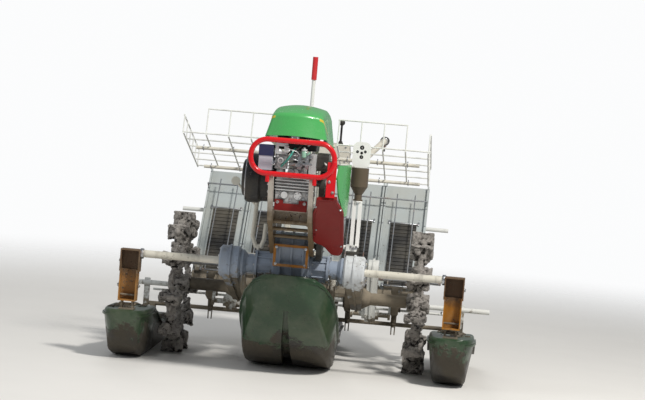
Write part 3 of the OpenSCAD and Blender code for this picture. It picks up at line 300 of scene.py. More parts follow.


# %% [markdown]
# Paddy mud is a finish of its own where it is thick: near black and glossy where it is wet, grey and cracked
# where the sun has had it, with grit and bits of straw colour in it. Its hollows, where little light reaches,
# are made dark and wet: partly wet mud, partly painted shade.

# %% Thick mud
def thick_mud(name, dry="aaa49e", wet="2a2623"):
    finish = Finish(name)
    lumps = finish.grain(48.0, 6.0, 0.72)
    grit = finish.grain(210.0, 5.0, 0.75)
    # Open faces come out pale and dry, hollows dark: the occlusion term paints shade into the mud.
    lit_and_raised = (finish.open_to_light(8, 0.03).ramp(0.3, 0.95, False) * 0.8 + (lumps - 0.5) * 1.9
              + (finish.grain(7.0, 2.0) - 0.5) * 0.9)
    dry_and_lit = lit_and_raised.ramp(0.22, 0.78)
    gritty = finish.blend(grit.ramp(0.55, 0.7) * 0.4, finish.blend(dry_and_lit, wet, dry), "cfcabf")
    speckled = finish.blend((1 - grit.ramp(0.36, 0.46)) * 0.6, gritty, "241f1b")
    surface = finish.bump(grit, 0.005, 0.9, finish.bump(lumps, 0.012))
    return finish.link(Base_Color=speckled, Roughness=dry_and_lit * 0.6 + 0.22 + (grit - 0.5) * 0.2, Normal=surface)


# %% Steel
def bare_steel(name, metal="b9bcc0", rough=0.32, rust=0.3, reach=0.3):
    finish = Finish(name)
    turned = finish.grain(700.0, 2.0, 0.5, stretch=(0.04, 1, 1))
    patch = finish.grain(26.0, 5.0, 0.7)
    rusty = patch.ramp(0.62 - rust * 0.25, 0.72 - rust * 0.2)
    base = finish.blend(rusty * 0.85, metal, "6b4226")
    tone, roughness, mask = muddy(finish, base, rusty * 0.4 + rough + (turned - 0.5) * 0.12, reach, 0.16, 0.2)
    return finish.link(Base_Color=tone, Roughness=roughness, Metallic=(1 - mask) * (1 - rusty),
                       Normal=finish.bump(turned + patch * rusty * 2, 0.0006, 0.4))


# %% [markdown]
# One table says which finish each material of the record gets, so a solid is dressed by its slot's name. A
# second paint shows where its share is one: above or below a height, with a sharp or a ragged edge, or in the
# narrow band down the bonnet's two sides.

# %% Shares of a second paint
def above(z, soft=0.0005):
    return lambda finish: finish.axis("Z").ramp(z - soft, z + soft, False)


def below(z, soft=0.0005):
    return lambda finish: 1 - above(z, soft)(finish)


def worn_above(z, spread):
    return lambda finish: (finish.axis("Z") + (finish.grain(16.0, 5.0, 0.65) - 0.5) * 0.14).ramp(z - spread,
                                                                                               z + spread)


def side_stripe(finish):
    slant = finish.axis("Z") + finish.axis("Y") * 0.55
    band = (1 - abs(slant - 0.4735).ramp(0.0052, 0.0058, False)) * abs(finish.axis("X")).ramp(0.085, 0.086, False)
    return band * (1 - finish.axis("Y").ramp(-0.905, -0.904, False))


# %% Dress the solids
finishes = {
    "case_paint": painted("case_paint", "8b96a6", 0.36, 0.45, reach=0.36, grime=0.3, streaks=0.4),
    "cream_paint": painted("cream_paint", "d2cec2", 0.4, 0.55, reach=0.34, grime=0.3, streaks=0.4),
    "red_paint": painted("red_paint", "cc0f1a", 0.24, 0.5, "7c5a4e", 0.2, grime=0.04, coat=0.3, streaks=0.1),
    "cover_red": painted("cover_red", "740d0b", 0.4, 0.3, "46231f", 0.2, grime=0.03),
    "green_shell": moulded("green_shell", "46a457", 0.27, 0.1, coat=0.25, grime=0.06, scuffs=0.12, second="c9b23a",
                           share=side_stripe),
    # The floats' mud tones are darker than elsewhere: partly wet mud, partly painted shade for the floats lying in
    # the machine's shadow.
    "float_green": moulded("float_green", "16361b", 0.3, 0.13, 0.17, coat=0.2, grime=0.14,
                           tones=("403a2f", "161310")),
    "orange_paint": painted("orange_paint", "9a6516", 0.45, 0.8, "3a2415", 0.22, grime=0.25, streaks=0.6,
                            second="5a412a", share=worn_above(0.345, 0.03)),
    "alloy": cast("alloy", "d8dadb"),
    "steel": bare_steel("steel"),
    "black_paint": painted("black_paint", "1d1e21", 0.36, 0.4, "5a4a40", 0.2, grime=0.15),
    "navy_plastic": moulded("navy_plastic", "20244a", 0.4, 0.2, grime=0.12, second="c9cbd6", share=below(0.878)),
    "wheel_mud": thick_mud("wheel_mud"),
    "white_paint": painted("white_paint", "dedfdb", 0.35, 0.3, reach=0.2, grime=0.15, streaks=0.2),
    "platform_grey": moulded("platform_grey", "aab1b1", 0.45, 0.34),
    "grip_rubber": moulded("grip_rubber", "1a1a1c", 0.62, 0.1, grime=0.2, pores=900.0),
    "belt_rubber": moulded("belt_rubber", "232324", 0.6, 0.2, grime=0.25),
}

# %% [markdown]
# Some solids wear two paints: the pole has a red sleeve, the marker a brown sleeve under its white plate, and
# the engine's mount is brown where the belt and the wheels throw mud at it. The orange frame is less worn than
# the brackets.

# %% Finishes of single solids
own_finish = {
    "sighting_pole": painted("pole_paint", "dedfdb", 0.35, 0.2, reach=0.1, grime=0.1, second="c8222e",
                             share=above(1.185)),
    "marker_arm": painted("marker_paint", "f0f0ee", 0.4, 0.2, reach=0.1, grime=0.08, streaks=0.2, second="5d5245",
                          share=lambda finish: above(0.716, 0.0008)(finish) * below(0.8495, 0.0008)(finish)),
    "engine_mount": painted("mount_paint", "c8c0b6", 0.45, 0.6, reach=0.2, grime=0.3, streaks=0.6,
                            second="6a5a44", share=lambda finish: 1 - worn_above(0.672, 0.05)(finish)),
    # The machine's left swing case wears a paler copy of the case paint: painted light on its lit side.
    "swing_case_left": painted("case_white", "c9cdd0", 0.38, 0.5, reach=0.36, grime=0.3, streaks=0.5),
    "transmission_guard": painted("frame_orange", "925c12", 0.45, 0.6, "3a2415", 0.2, grime=0.3, streaks=0.5),
}
slot_of = {part["node"]: part["material_slot"] for part in frame["record"]["subparts"]}
for name, solid in nodes.items():
    solid.data.materials.clear()
    solid.data.materials.append(own_finish.get(name) or finishes[slot_of[name]])
print(len(finishes) + len(own_finish), "finishes on", len(slot_of), "solids")

# %% [markdown]
# A plain pale floor fades out with distance, so that it ends in the white of the background with no edge.
# The world lights softly from all round; one large lamp from the upper left and a weaker one from the
# other side give the forms their light and shade.

# %% Floor and light
bpy.ops.object.select_all(action="DESELECT")
bpy.ops.mesh.primitive_plane_add(size=60.0, location=(0, 0, 0))
floor = bpy.context.object
floor.name = "floor"
ground = Finish("pale_floor")
ground.link(Base_Color=ground.blend(ground.grain(3.0), "dcdad6", "e2e0dc"), Roughness=0.9)
distance = ground.add("ShaderNodeVectorMath", {"operation": "LENGTH"}, {0: ground.place}, "Value")
clear = ground.add("ShaderNodeBsdfTransparent", {}, {})
solid_share = Value(ground, ground.shader.outputs[0])
faded_floor = ground.add("ShaderNodeMixShader", {}, {0: distance.ramp(2.2, 6.0), 1: solid_share, 2: clear})
ground.tree.links.new(faded_floor.socket, ground.tree.nodes["Material Output"].inputs["Surface"])
floor.data.materials.append(ground.material)

world = bpy.data.worlds.new("studio")
world.use_nodes = True
bpy.context.scene.world = world
tree = world.node_tree
light_in = tree.nodes["Background"]
seen, paths, either, choose = (tree.nodes.new("ShaderNode" + kind)
                               for kind in ("Background", "LightPath", "Math", "MixShader"))
light_in.inputs["Color"].default_value = (0.93, 0.96, 1.0, 1)
light_in.inputs["Strength"].default_value = 0.30
seen.inputs["Color"].default_value = (0.97, 0.975, 0.98, 1)
either.operation, either.use_clamp = "ADD", True
for output, target in ((paths.outputs["Is Camera Ray"], either.inputs[0]),
                       (paths.outputs["Is Transmission Ray"], either.inputs[1]),
                       (either.outputs[0], choose.inputs[0]), (light_in.outputs[0], choose.inputs[1]),
                       (seen.outputs[0], choose.inputs[2]),
                       (choose.outputs[0], tree.nodes["World Output"].inputs["Surface"])):
    tree.links.new(output, target)


def lamp(name, place, target, size, power, tint=(1, 1, 1), mirrored=True):
    data = bpy.data.lights.new(name, "AREA")
    data.shape, data.size, data.energy, data.color = "DISK", size, power, tint
    made = bpy.data.objects.new(name, data)
    made.location = place
    made.rotation_euler = (Vector(target) - Vector(place)).to_track_quat("-Z", "Y").to_euler()
    made.visible_glossy = mirrored
    bpy.context.scene.collection.objects.link(made)


lamp("sun_side", (2.4, -3.2, 4.8), (0, -0.3, 0.5), 0.8, 300, (1.0, 0.97, 0.92))
lamp("fill_side", (-4.2, -3.0, 2.2), (0, -0.3, 0.5), 2.6, 50, (0.92, 0.96, 1.0), mirrored=False)
lamp("rear_side", (-1.5, 4.5, 3.8), (0, 0.3, 0.5), 2.2, 80, mirrored=False)
bpy.context.scene.view_settings.view_transform = "Standard"

# %% [markdown]
# New pieces are modelled with Blender's own tools. These helpers keep that short: start a primitive
# with nothing else selected, work in edit mode on the faces that are picked by place, then freeze the result
# with its place in its mesh.

# %% Modelling helpers
def alone(obj):
    bpy.ops.object.select_all(action="DESELECT")
    obj.select_set(True)
    bpy.context.view_layer.objects.active = obj


def start(kind, **settings):
    """A primitive, alone in the selection."""
    bpy.ops.object.select_all(action="DESELECT")
    getattr(bpy.ops.mesh, "primitive_%s_add" % kind)(**settings)
    return bpy.context.object


def pick(obj, test):
    """Enters edit mode with the faces selected whose centre and normal pass the test."""
    bpy.ops.object.mode_set(mode="EDIT")
    bpy.ops.mesh.select_mode(type="FACE")
    bpy.ops.mesh.select_all(action="DESELECT")
    mesh = bmesh.from_edit_mesh(obj.data)
    for face in mesh.faces:
        face.select_set(test(face.calc_center_median(), face.normal))
    bmesh.update_edit_mesh(obj.data)


def pick_all():
    bpy.ops.object.mode_set(mode="EDIT")
    bpy.ops.mesh.select_all(action="SELECT")


def leave():
    bpy.ops.object.mode_set(mode="OBJECT")


def step_in(obj, test, inset, move):
    """Sets the picked faces in and moves them."""
    pick(obj, test)
    bpy.ops.mesh.inset(thickness=inset)
    bpy.ops.transform.translate(value=move)
    leave()


def merge(obj, distance):
    """Merges the points of a mesh that lie together."""
    alone(obj)
    pick_all()
    bpy.ops.mesh.remove_doubles(threshold=distance)
    leave()


def modify(obj, kind, **settings):
    """Adds a modifier and applies it."""
    alone(obj)
    modifier = obj.modifiers.new(kind.lower(), kind)
    for name, value in settings.items():
        setattr(modifier, name, value)
    bpy.ops.object.modifier_apply(modifier=modifier.name)


def roughen(obj, texture, scale, depth, strength, middle, noise="SOFT_NOISE"):
    """Pushes a surface in and out by a cloudy texture."""
    cloud = bpy.data.textures.new(texture, "CLOUDS")
    cloud.noise_scale, cloud.noise_depth, cloud.noise_type = scale, depth, noise
    modify(obj, "DISPLACE", texture=cloud, texture_coords="LOCAL", strength=strength, mid_level=middle)


def twin_of(obj):
    """A copy with its own mesh and no parent."""
    twin = obj.copy()
    twin.data = obj.data.copy()
    twin.parent = None
    bpy.context.scene.collection.objects.link(twin)
    return twin


def copy_at(obj, matrix):
    """A copy, moved by a matrix that goes into its mesh."""
    twin = twin_of(obj)
    twin.data.transform(matrix)
    return twin


def moved(matrix, pieces):
    """The same pieces, their meshes moved by a matrix."""
    for piece in pieces:
        piece.data.transform(matrix)
    return pieces


def join(pieces):
    bpy.ops.object.select_all(action="DESELECT")
    for piece in pieces:
        piece.select_set(True)
    bpy.context.view_layer.objects.active = pieces[0]
    bpy.ops.object.join()
    return bpy.context.object


def freeze(obj, name, body, slot, smooth=40, material=None):
    """Names a piece, puts its place in its mesh, smooths it, dresses it and lets it ride on its body."""
    alone(obj)
    bpy.ops.object.transform_apply(location=True, rotation=True, scale=True)
    bpy.ops.object.shade_smooth_by_angle(angle=math.radians(smooth))
    obj.name = obj.data.name = name
    obj.data.materials.clear()
    obj.data.materials.append(material or finishes[slot])
    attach(obj, body)


def fit(name, slot, pieces, body="root", smooth=40, material=None):
    """Joins shapes to one piece and freezes it."""
    freeze(join(pieces), name, body, slot, smooth, material)


def turn_to(direction):
    """The turn that points +Z along a direction."""
    return Vector((0, 0, 1)).rotation_difference(Vector(direction).normalized()).to_matrix().to_4x4()


# %% [markdown]
# ## Small shapes that come back
# Most fittings on an engine are one of a few things: a folded or cast plate with its edges broken, a turned
# drum, a bent rod, a coil spring. Each of these gets a helper that starts from a primitive and works it with
# bevels and insets, in millimetres, so that the tables below read like a parts list.

# %% Plates, drums, rods and springs
def block(low, high, bevel=1.5, segments=2):
    """A plate or casting between two corners, its edges broken by a bevel."""
    size = [(b - a) / 1000 for a, b in zip(low, high)]
    middle = [(a + b) / 2000 for a, b in zip(low, high)]
    obj = start("cube", size=1.0, location=middle)
    bpy.ops.transform.resize(value=size)
    bpy.ops.object.transform_apply(location=True, rotation=True, scale=True)
    pick_all()
    bpy.ops.mesh.bevel(offset=min(bevel / 1000, min(size) * 0.4), segments=segments, affect="EDGES")
    leave()
    return obj


def drum(a, b, radius, rim=1.5, sides=32, dish=0.0):
    """A turned drum from a to b, its rims bevelled, and its far end dished in by a step."""
    a, b = Vector(a) / 1000, Vector(b) / 1000
    length = (b - a).length
    obj = start("cylinder", vertices=sides, radius=radius / 1000, depth=length)
    pick(obj, lambda c, n: abs(n.z) > 0.9)
    bpy.ops.mesh.bevel(offset=min(rim / 1000, radius / 3000), segments=2, affect="EDGES")
    leave()
    if dish:
        pick(obj, lambda c, n: n.z > 0.9 and c.z > 0 and c.xy.length < 1e-5)
        bpy.ops.mesh.inset(thickness=radius / 1000 * 0.28)
        bpy.ops.mesh.extrude_region_move(TRANSFORM_OT_translate={"value": (0, 0, -dish / 1000)})
        leave()
    obj.data.transform(Matrix.Translation((a + b) / 2) @ turn_to(b - a))
    return obj


def smooth_path(points, steps):
    """Points of a smooth line through a list of points, in metres."""
    pts = [Vector(p) / 1000 for p in points]
    pts = [pts[0] * 2 - pts[1]] + pts + [pts[-1] * 2 - pts[-2]]
    line = []
    for i in range(1, len(pts) - 2):
        p0, p1, p2, p3 = pts[i - 1:i + 3]
        for k in range(steps):
            t = k / steps
            line.append(0.5 * ((2 * p1) + (p2 - p0) * t + (2 * p0 - 5 * p1 + 4 * p2 - p3) * t * t
                               + (3 * p1 - p0 - 3 * p2 + p3) * t * t * t))
    return line + [pts[-2]]


def round_bar(name, line, radius, sides):
    """A curve with thickness along a line, its ends closed."""
    data = bpy.data.curves.new(name, "CURVE")
    data.dimensions, data.bevel_depth, data.bevel_resolution, data.use_fill_caps = "3D", radius, sides, True
    spline = data.splines.new("POLY")
    spline.points.add(len(line) - 1)
    for point, place in zip(spline.points, line):
        point.co = (*place, 1)
    obj = bpy.data.objects.new(name, data)
    bpy.context.scene.collection.objects.link(obj)
    return obj


def wire(points, radius, bent=True):
    """A rod or wire as a mesh, bent smoothly through a few points or laid straight from each to the next."""
    line = smooth_path(points, 8) if bent else [Vector(p) / 1000 for p in points]
    alone(round_bar("rod", line, radius / 1000, 4 if bent else 2))
    bpy.ops.object.convert(target="MESH")
    return bpy.context.object


def spring(a, b, radius, gauge, turns):
    """A coil spring between two points, with a hook at each end."""
    a, b, turn_steps = Vector(a), Vector(b), 10
    axis = (b - a).normalized()
    side = axis.cross(Vector((0.3, 0.5, 0.8))).normalized()
    other = axis.cross(side)
    line = [a]
    for i in range(turns * turn_steps + 1):
        angle = 2 * math.pi * i / turn_steps
        share = 0.12 + 0.76 * i / (turns * turn_steps)
        line.append(a + (b - a) * share + (side * math.cos(angle) + other * math.sin(angle)) * radius)
    return wire(line + [b], gauge, bent=False)


def cord(name, body, material_slot, points, diameter, material=None):
    """A free lead or hose that runs from one part of the machine to another."""
    line = smooth_path(points, 6)
    obj = round_bar(name, line, diameter / 2000, 3)
    obj.data.materials.append(material or finishes[material_slot])
    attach(obj, body)
    length = sum((b - a).length for a, b in zip(line, line[1:]))
    print(name, round(length, 3), "m")


# %% [markdown]
# ## Solids with a smooth skin
# The frame's meshes are loose triangles, so their round faces shade as facets. Each solid gets a copy with
# its double points merged, smooth where its faces meet at a small angle and sharp elsewhere. Normals that are
# weighted by face area keep the flat faces flat. The copy stands in for the solid.

# %% Smooth copies
skins = {}
body_of = {name: body for name, solid in nodes.items() for body, empty in frame["bodies"].items()
           if solid.parent == empty}
remade = ("wheel_left", "wheel_right", "bonnet", "belt_cover")


def smooth_copy(node):
    skin = twin_of(nodes[node])
    merge(skin, 0.00002)
    bpy.ops.mesh.customdata_custom_splitnormals_clear()
    freeze(skin, node + "_skin", body_of[node], slot_of[node], 32, own_finish.get(node))
    modify(skin, "WEIGHTED_NORMAL", weight=50, keep_sharp=True)
    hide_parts(node)
    skins[node] = skin
    return len(skin.data.polygons)


skinned = [name for name in nodes if name not in remade]
print(sum(smooth_copy(name) for name in skinned), "triangles in", len(skinned), "smooth copies")

# %% [markdown]
# The two bars under the racks are thin tube. Their points are drawn in towards each bar's axis, and the axis
# is lifted by as much, so that the racks still lie on them.

# %% Thin bars under the racks
bar_radius, thin_radius, bar_end, reading_error = 0.011, 0.007, 0.465, 0.00025
bar_axes = ((-0.345, 0.8621), (-0.030, 0.7747))
drawn = 0
for point in skins["rack_frame"].data.vertices:
    for y, z in bar_axes:
        out = Vector((0, point.co.y - y, point.co.z - z))
        on_end = abs(abs(point.co.x) - bar_end) < 2 * reading_error and out.length < bar_radius
        if abs(out.length - bar_radius) < reading_error or on_end:
            out *= thin_radius / bar_radius
            point.co.y, point.co.z = y + out.y, z + out.z + bar_radius - thin_radius
            drawn += 1
            break
print(drawn, "points of the bars drawn in")

# %% [markdown]
# ## Bonnet
# The bonnet is pressed from one sheet: walls that lean in, a bowed nose with a crisp edge, and a top that
# rises to the rear and is domed across. It starts as a grid. One way round the grid is the plan outline, the
# other goes from the lower edge up the wall, over the edge's radius and in to the middle of the top. The
# seam is merged, the rear is left open, and the sheet gets its thickness.

# %% Bonnet
bonnet_low, bonnet_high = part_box("bonnet")
bonnet_long = bonnet_high.y - bonnet_low.y
half_width, nose_bow, side_lean, edge_radius, top_dome = 0.120, 0.046, 0.019, 0.016, 0.024
corner, corner_stretch, top_middle, sheet = 0.018, 1.1, 0.2, 0.0032
low_edge = ((0, 0.962), (0.07, 0.950), (0.2, 0.936), (0.54, 0.9025))
top_line = ((0, 1.040), (0.03, 1.0495), (0.06, 1.057), (0.1, 1.066), (0.15, 1.0735), (0.2, 1.078), (0.25, 1.0799),
            (0.34, 1.078), (0.44, 1.068), (0.54, 1.050))


def along(table, at):
    """Reads a value between the rows of a table."""
    for (a, low), (b, high) in zip(table, table[1:]):
        if at <= b:
            return low + (high - low) * max(0, (at - a) / (b - a))
    return table[-1][1]


def bonnet_plan(share, inset):
    """A point of the plan outline, as x and distance behind the nose, set in from the outside."""
    half = half_width - inset
    bow = nose_bow * ((half - corner) / half_width) ** 2
    behind_corner = inset + bow + corner * corner_stretch
    lengths = (half - corner, corner * math.pi / 2, bonnet_long - inset - bow - corner, half)
    run = abs(share * 2 - 1) * sum(lengths)
    side = 1 if share > 0.5 else -1
    if run < lengths[0]:
        return side * run, inset + nose_bow * (run / half_width) ** 2
    run -= lengths[0]
    if run < lengths[1]:
        turn = run / corner
        across = half - corner + corner * math.sin(turn)
        return side * across, inset + bow + corner * (1 - math.cos(turn)) * corner_stretch
    run -= lengths[1]
    if run < lengths[2]:
        return side * half, behind_corner + run * (bonnet_long - behind_corner) / lengths[2]
    return side * (half - (run - lengths[2])), bonnet_long


def bonnet_point(share, level):
    """level runs 0 to 1 up the wall, 1 to 2 over the edge and 2 to 3 to the middle of the top."""
    rise, round_edge, over = min(level, 1), min(max(level - 1, 0), 1), max(level - 2, 0)
    turn = round_edge * math.pi / 2
    inset = side_lean * rise + edge_radius * (1 - math.cos(turn))
    x, back = bonnet_plan(share, inset)
    if over:
        x, back = x * (1 - over), top_middle + (back - top_middle) * (1 - over)
    top = along(top_line, back) - top_dome * (x / half_width) ** 2
    foot = along(low_edge, back)
    if over:
        z = top
    elif round_edge:
        z = top - edge_radius * (1 - math.sin(turn))
    else:
        z = foot + (top - edge_radius - foot) * rise
    return Vector((x, bonnet_low.y + back, z))


wall_steps, edge_steps, top_steps, round_steps, near_middle = 9, 7, 18, 176, 2.985
levels = ([i / wall_steps for i in range(wall_steps)] + [1 + i / edge_steps for i in range(edge_steps)]
          + [2 + i / top_steps for i in range(top_steps + 1)])
rise_steps = len(levels) - 1
bonnet = start("grid", x_subdivisions=round_steps, y_subdivisions=rise_steps, size=2.0)
for point in bonnet.data.vertices:
    across, row = (point.co.x + 1) / 2, round((point.co.y + 1) / 2 * rise_steps)
    point.co = bonnet_point(across, min(levels[row], near_middle))
pick(bonnet, lambda c, n: c.y > bonnet_low.y + bonnet_long - 0.0006)
bpy.ops.mesh.delete(type="FACE")
bpy.ops.mesh.select_all(action="SELECT")
bpy.ops.mesh.remove_doubles(threshold=0.0003)
bpy.ops.mesh.normals_make_consistent(inside=False)
leave()
modify(bonnet, "SOLIDIFY", thickness=sheet, offset=-1.0)
freeze(bonnet, "bonnet_shell", "bonnet", "green_shell")
modify(bonnet, "WEIGHTED_NORMAL", weight=50, keep_sharp=True)
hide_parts("bonnet")
print("bonnet", len(bonnet.data.polygons), "faces,", [round(v, 3) for v in bonnet.dimensions])

# %% [markdown]
# ## Belt cover
# The cover hangs from the guard's plate by a narrow neck and leans back over the belt. It is a pan with a
# bottle's outline. A disc of as many corners as the outline has points is pulled into shape, extruded to
# make the pan, and its edges are bevelled. An inset pressed forward makes the raised field. The outline is
# in millimetres, and runs down from the upper end.

# %% Belt cover
cover_top, cover_run, cover_drop = (0.147, -1.084, 0.732), 1.084 - 0.797, 0.732 - 0.500
cover_at = Matrix.Translation(cover_top) @ Matrix.Rotation(math.pi / 2 + math.atan2(cover_run, cover_drop), 4, "X")
foot, face_reach = -math.hypot(cover_run, cover_drop) * 1000, -0.0004
pan_depth, pan_wall, hollow = 0.014, 0.0022, 0.0115
cover_outline = [(6, 4), (34, 4), (34.5, -14), (37, -30), (46, -50), (54, -72), (58.5, -92), (60, -112),
                 (60, foot + 72), (57, foot + 34), (51, foot + 12), (44, foot + 3), (34, foot), (20, foot + 1),
                 (10, foot + 8), (-2, foot + 28), (-14, foot + 50), (-26, foot + 63), (-42, foot + 71),
                 (-54, foot + 78), (-60, foot + 92), (-60, -100), (-56, -84), (-50, -68), (-48, -52), (-46, -18),
                 (-43, -9), (-35, -5), (2, -3)]
cover = start("circle", vertices=len(cover_outline), radius=1.0, fill_type="NGON")
for point, (x, y) in zip(cover.data.vertices, cover_outline):
    point.co = (x / 1000, y / 1000, 0)
pick(cover, lambda c, n: True)
bpy.ops.mesh.extrude_region_move(TRANSFORM_OT_translate={"value": (0, 0, -pan_depth)})
bpy.ops.mesh.select_all(action="SELECT")
bpy.ops.mesh.normals_make_consistent(inside=False)
leave()
pick(cover, lambda c, n: n.z < -0.9 and c.z < -pan_depth / 2)
bpy.ops.mesh.inset(thickness=pan_wall)
bpy.ops.mesh.extrude_region_move(TRANSFORM_OT_translate={"value": (0, 0, hollow)})
leave()
pick(cover, lambda c, n: n.z > 0.9 and c.z > face_reach)
bpy.ops.mesh.bevel(offset=0.0022, segments=3, affect="EDGES")
leave()
pick(cover, lambda c, n: n.z > 0.99 and c.z > face_reach)
bpy.ops.mesh.inset(thickness=0.006)
bpy.ops.mesh.inset(thickness=0.0022, depth=0.0016)
leave()
cover.data.transform(cover_at)
neck = block((153, -1085, 728), (170, -1081, 770), 0.8)
tab = block((87, -906, 576), (95, -886, 600), 1)
cover = join([cover, neck, tab])
freeze(cover, "belt_cover_pan", "root", "cover_red", 30)
modify(cover, "WEIGHTED_NORMAL", weight=50, keep_sharp=True)
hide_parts("belt_cover")
low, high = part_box("belt_cover")
print("cover", [round(v, 3) for v in cover.dimensions], "solid", [round(b - a, 3) for a, b in zip(low, high)])

# %% [markdown]
# ## Wheels in their mud
# A paddle wheel comes out of the field as a ring of clods. The clean wheel is copied, balls of mud are thrown
# at its lugs and its rim, doubles are merged, and a voxel remesh melts all of it into one skin. Three
# displacements, from coarse to fine, give the skin its lumps. Points that would leave the wheel's own reach
# are drawn back in, so that the wheel still stands on the floor and clears the float beside it.

# %% Muddy wheels
mud_r, wheel_half, rim_r, lug_count, lug_balls, rim_balls = 0.299, 0.047, 0.232, 11, 9, 46
axles = {joint["child"]: joint["pos_m"] for joint in frame["joints"] if joint["name"].startswith("spin")}


def muddy_wheel(node, seed):
    chance = random.Random(seed)
    low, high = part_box(node)
    centre = (low + high) / 2
    _, centre.y, centre.z = axles[body_of[node]]
    skin = twin_of(nodes[node])
    ball = start("ico_sphere", subdivisions=2, radius=1.0)
    clods = []
    for lug in range(lug_count):
        angle = math.radians(360 / lug_count * lug)
        for _ in range(lug_balls):
            radius = chance.uniform(0.225, 0.288)
            swing = angle + chance.uniform(-0.055, 0.055)
            size = chance.uniform(0.010, 0.021)
            side = chance.uniform(-0.034, 0.034)
            spot = centre + Vector((side, radius * math.sin(swing), radius * math.cos(swing)))
            clods.append(copy_at(ball, Matrix.Translation(spot) @ Matrix.Diagonal(
                (size * chance.uniform(0.9, 1.4), size, size * chance.uniform(0.8, 1.3), 1))))
    for _ in range(rim_balls):
        swing = chance.uniform(0, 2 * math.pi)
        size = chance.uniform(0.008, 0.018)
        spot = centre + Vector((chance.uniform(-0.014, 0.014), rim_r * math.sin(swing), rim_r * math.cos(swing)))
        clods.append(copy_at(ball, Matrix.Translation(spot) @ Matrix.Diagonal((size * 1.3, size, size, 1))))
    bpy.data.objects.remove(ball)
    skin = join([skin] + clods)
    merge(skin, 0.0002)
    modify(skin, "REMESH", mode="VOXEL", voxel_size=0.0042)
    roughen(skin, "lumps_" + node, 0.045, 3, 0.026, 0.42)
    roughen(skin, "nubs_" + node, 0.022, 2, 0.018, 0.36, "HARD_NOISE")
    roughen(skin, "crumbs_" + node, 0.012, 2, 0.010, 0.45)
    modify(skin, "SMOOTH", factor=0.35, iterations=1)
    for point in skin.data.vertices:
        across = point.co.x - centre.x
        if abs(across) > wheel_half:
            point.co.x = centre.x + math.copysign(wheel_half, across)
        out = Vector((0, point.co.y - centre.y, point.co.z - centre.z))
        if out.length > mud_r:
            out *= mud_r / out.length
            point.co.y, point.co.z = centre.y + out.y, centre.z + out.z
        point.co.z = max(point.co.z, 0.0005)
    freeze(skin, node + "_mud", body_of[node], "wheel_mud", 60)
    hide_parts(node)
    print(skin.name, len(skin.data.polygons), "faces")


muddy_wheel("wheel_left", 5)
muddy_wheel("wheel_right", 11)

# %% [markdown]
# ## Screws
# Every flange and cover on the machine is held by hexagon screws with a washer. One screw is made: a short
# six-sided prism with bevelled corners on a round washer. It is then copied to a list of places, each with
# the direction it faces and its size, and the copies of one body are joined to one piece. Rows that have
# their like on the machine's other side are written once and mirrored.

# %% One screw
washer = start("cylinder", vertices=20, radius=0.85, depth=0.12, location=(0, 0, 0.06))
step_in(washer, lambda c, n: n.z > 0.9, 0.06, (0, 0, 0.02))
head = start("cylinder", vertices=6, radius=0.577, depth=0.42, location=(0, 0, 0.33))
step_in(head, lambda c, n: n.z > 0.9, 0.09, (0, 0, 0.07))
screw = join([washer, head])
bpy.ops.object.transform_apply(location=True, rotation=True, scale=True)
flats_share = 0.8
left, forward, up = (1, 0, 0), (0, -1, 0), (0, 0, 1)


def screws(name, body, places):
    """places: rows of x, y, z, direction and size in millimetres. Each head is turned by another angle."""
    made = []
    for x, y, z, direction, size in places:
        at = Matrix.Translation((x / 1000, y / 1000, z / 1000)) @ turn_to(direction)
        made.append(copy_at(screw, at @ Matrix.Rotation(x * 0.7 + z * 0.3, 4, "Z")
                            @ Matrix.Scale(size / 1000 * flats_share, 4)))
    fit(name, "steel", made, body, 30)


def sided(rows, side):
    """Rows written for the left side (1), there or on the right side (-1)."""
    return [(side * x, y, z, (side * facing[0], *facing[1:]), size) for x, y, z, facing, size in rows]


def mirrored(rows):
    return sided(rows, 1) + sided(rows, -1)


def ring(x, y, z, facing, radius, count, size, phase=0.0):
    """Rows for a circle of screws round a point, all facing along X or all along Y."""
    rows = []
    for i in range(count):
        angle = 2 * math.pi * (i + phase) / count
        a, b = radius * math.cos(angle), radius * math.sin(angle)
        rows.append((x, y + a, z + b, facing, size) if facing[0] else (x + a, y, z + b, facing, size))
    return rows


# %% [markdown]
# ## Engine
# From the front the engine is the face of the machine: through the red loop one looks straight at the
# carburettor, the governor's arms and springs, the plug and its lead. None of it is covered, so each part
# gets its own shape. The bright parts are die cast or zinc plated, the lead and the boot are rubber.

# %% Governor, levers and springs
fit("governor", "steel", [
    block((14, -1024, 836), (30, -1020, 892), 1.2),
    block((-14, -1026, 846), (34, -1023, 856), 1.2),
    block((44, -1030, 838), (58, -1026, 900), 1.2),
    block((34, -1032, 852), (70, -1028, 862), 1.2),
    drum((22, -1012, 850), (22, -1034, 850), 7, 1.2, 24, 2),
    drum((50, -1000, 872), (50, -1038, 872), 6, 1.2, 24, 2),
    drum((-8, -1008, 822), (-8, -1030, 822), 13, 2, 32, 3),
    drum((38, -1008, 818), (38, -1026, 818), 11, 2, 32, 3),
    drum((62, -999, 886), (62, -1018, 886), 8, 1.4, 24, 2),
    spring((-26, -1026, 884), (22, -1028, 886), 4.2, 0.8, 11),
    spring((20, -1027, 842), (50, -1029, 897), 3.6, 0.7, 12),
    wire([(-30, -1024, 868), (-6, -1031, 874), (20, -1029, 868), (48, -1034, 876)], 1.6),
    wire([(24, -1022, 890), (40, -1036, 904), (58, -1032, 894)], 1.8),
])

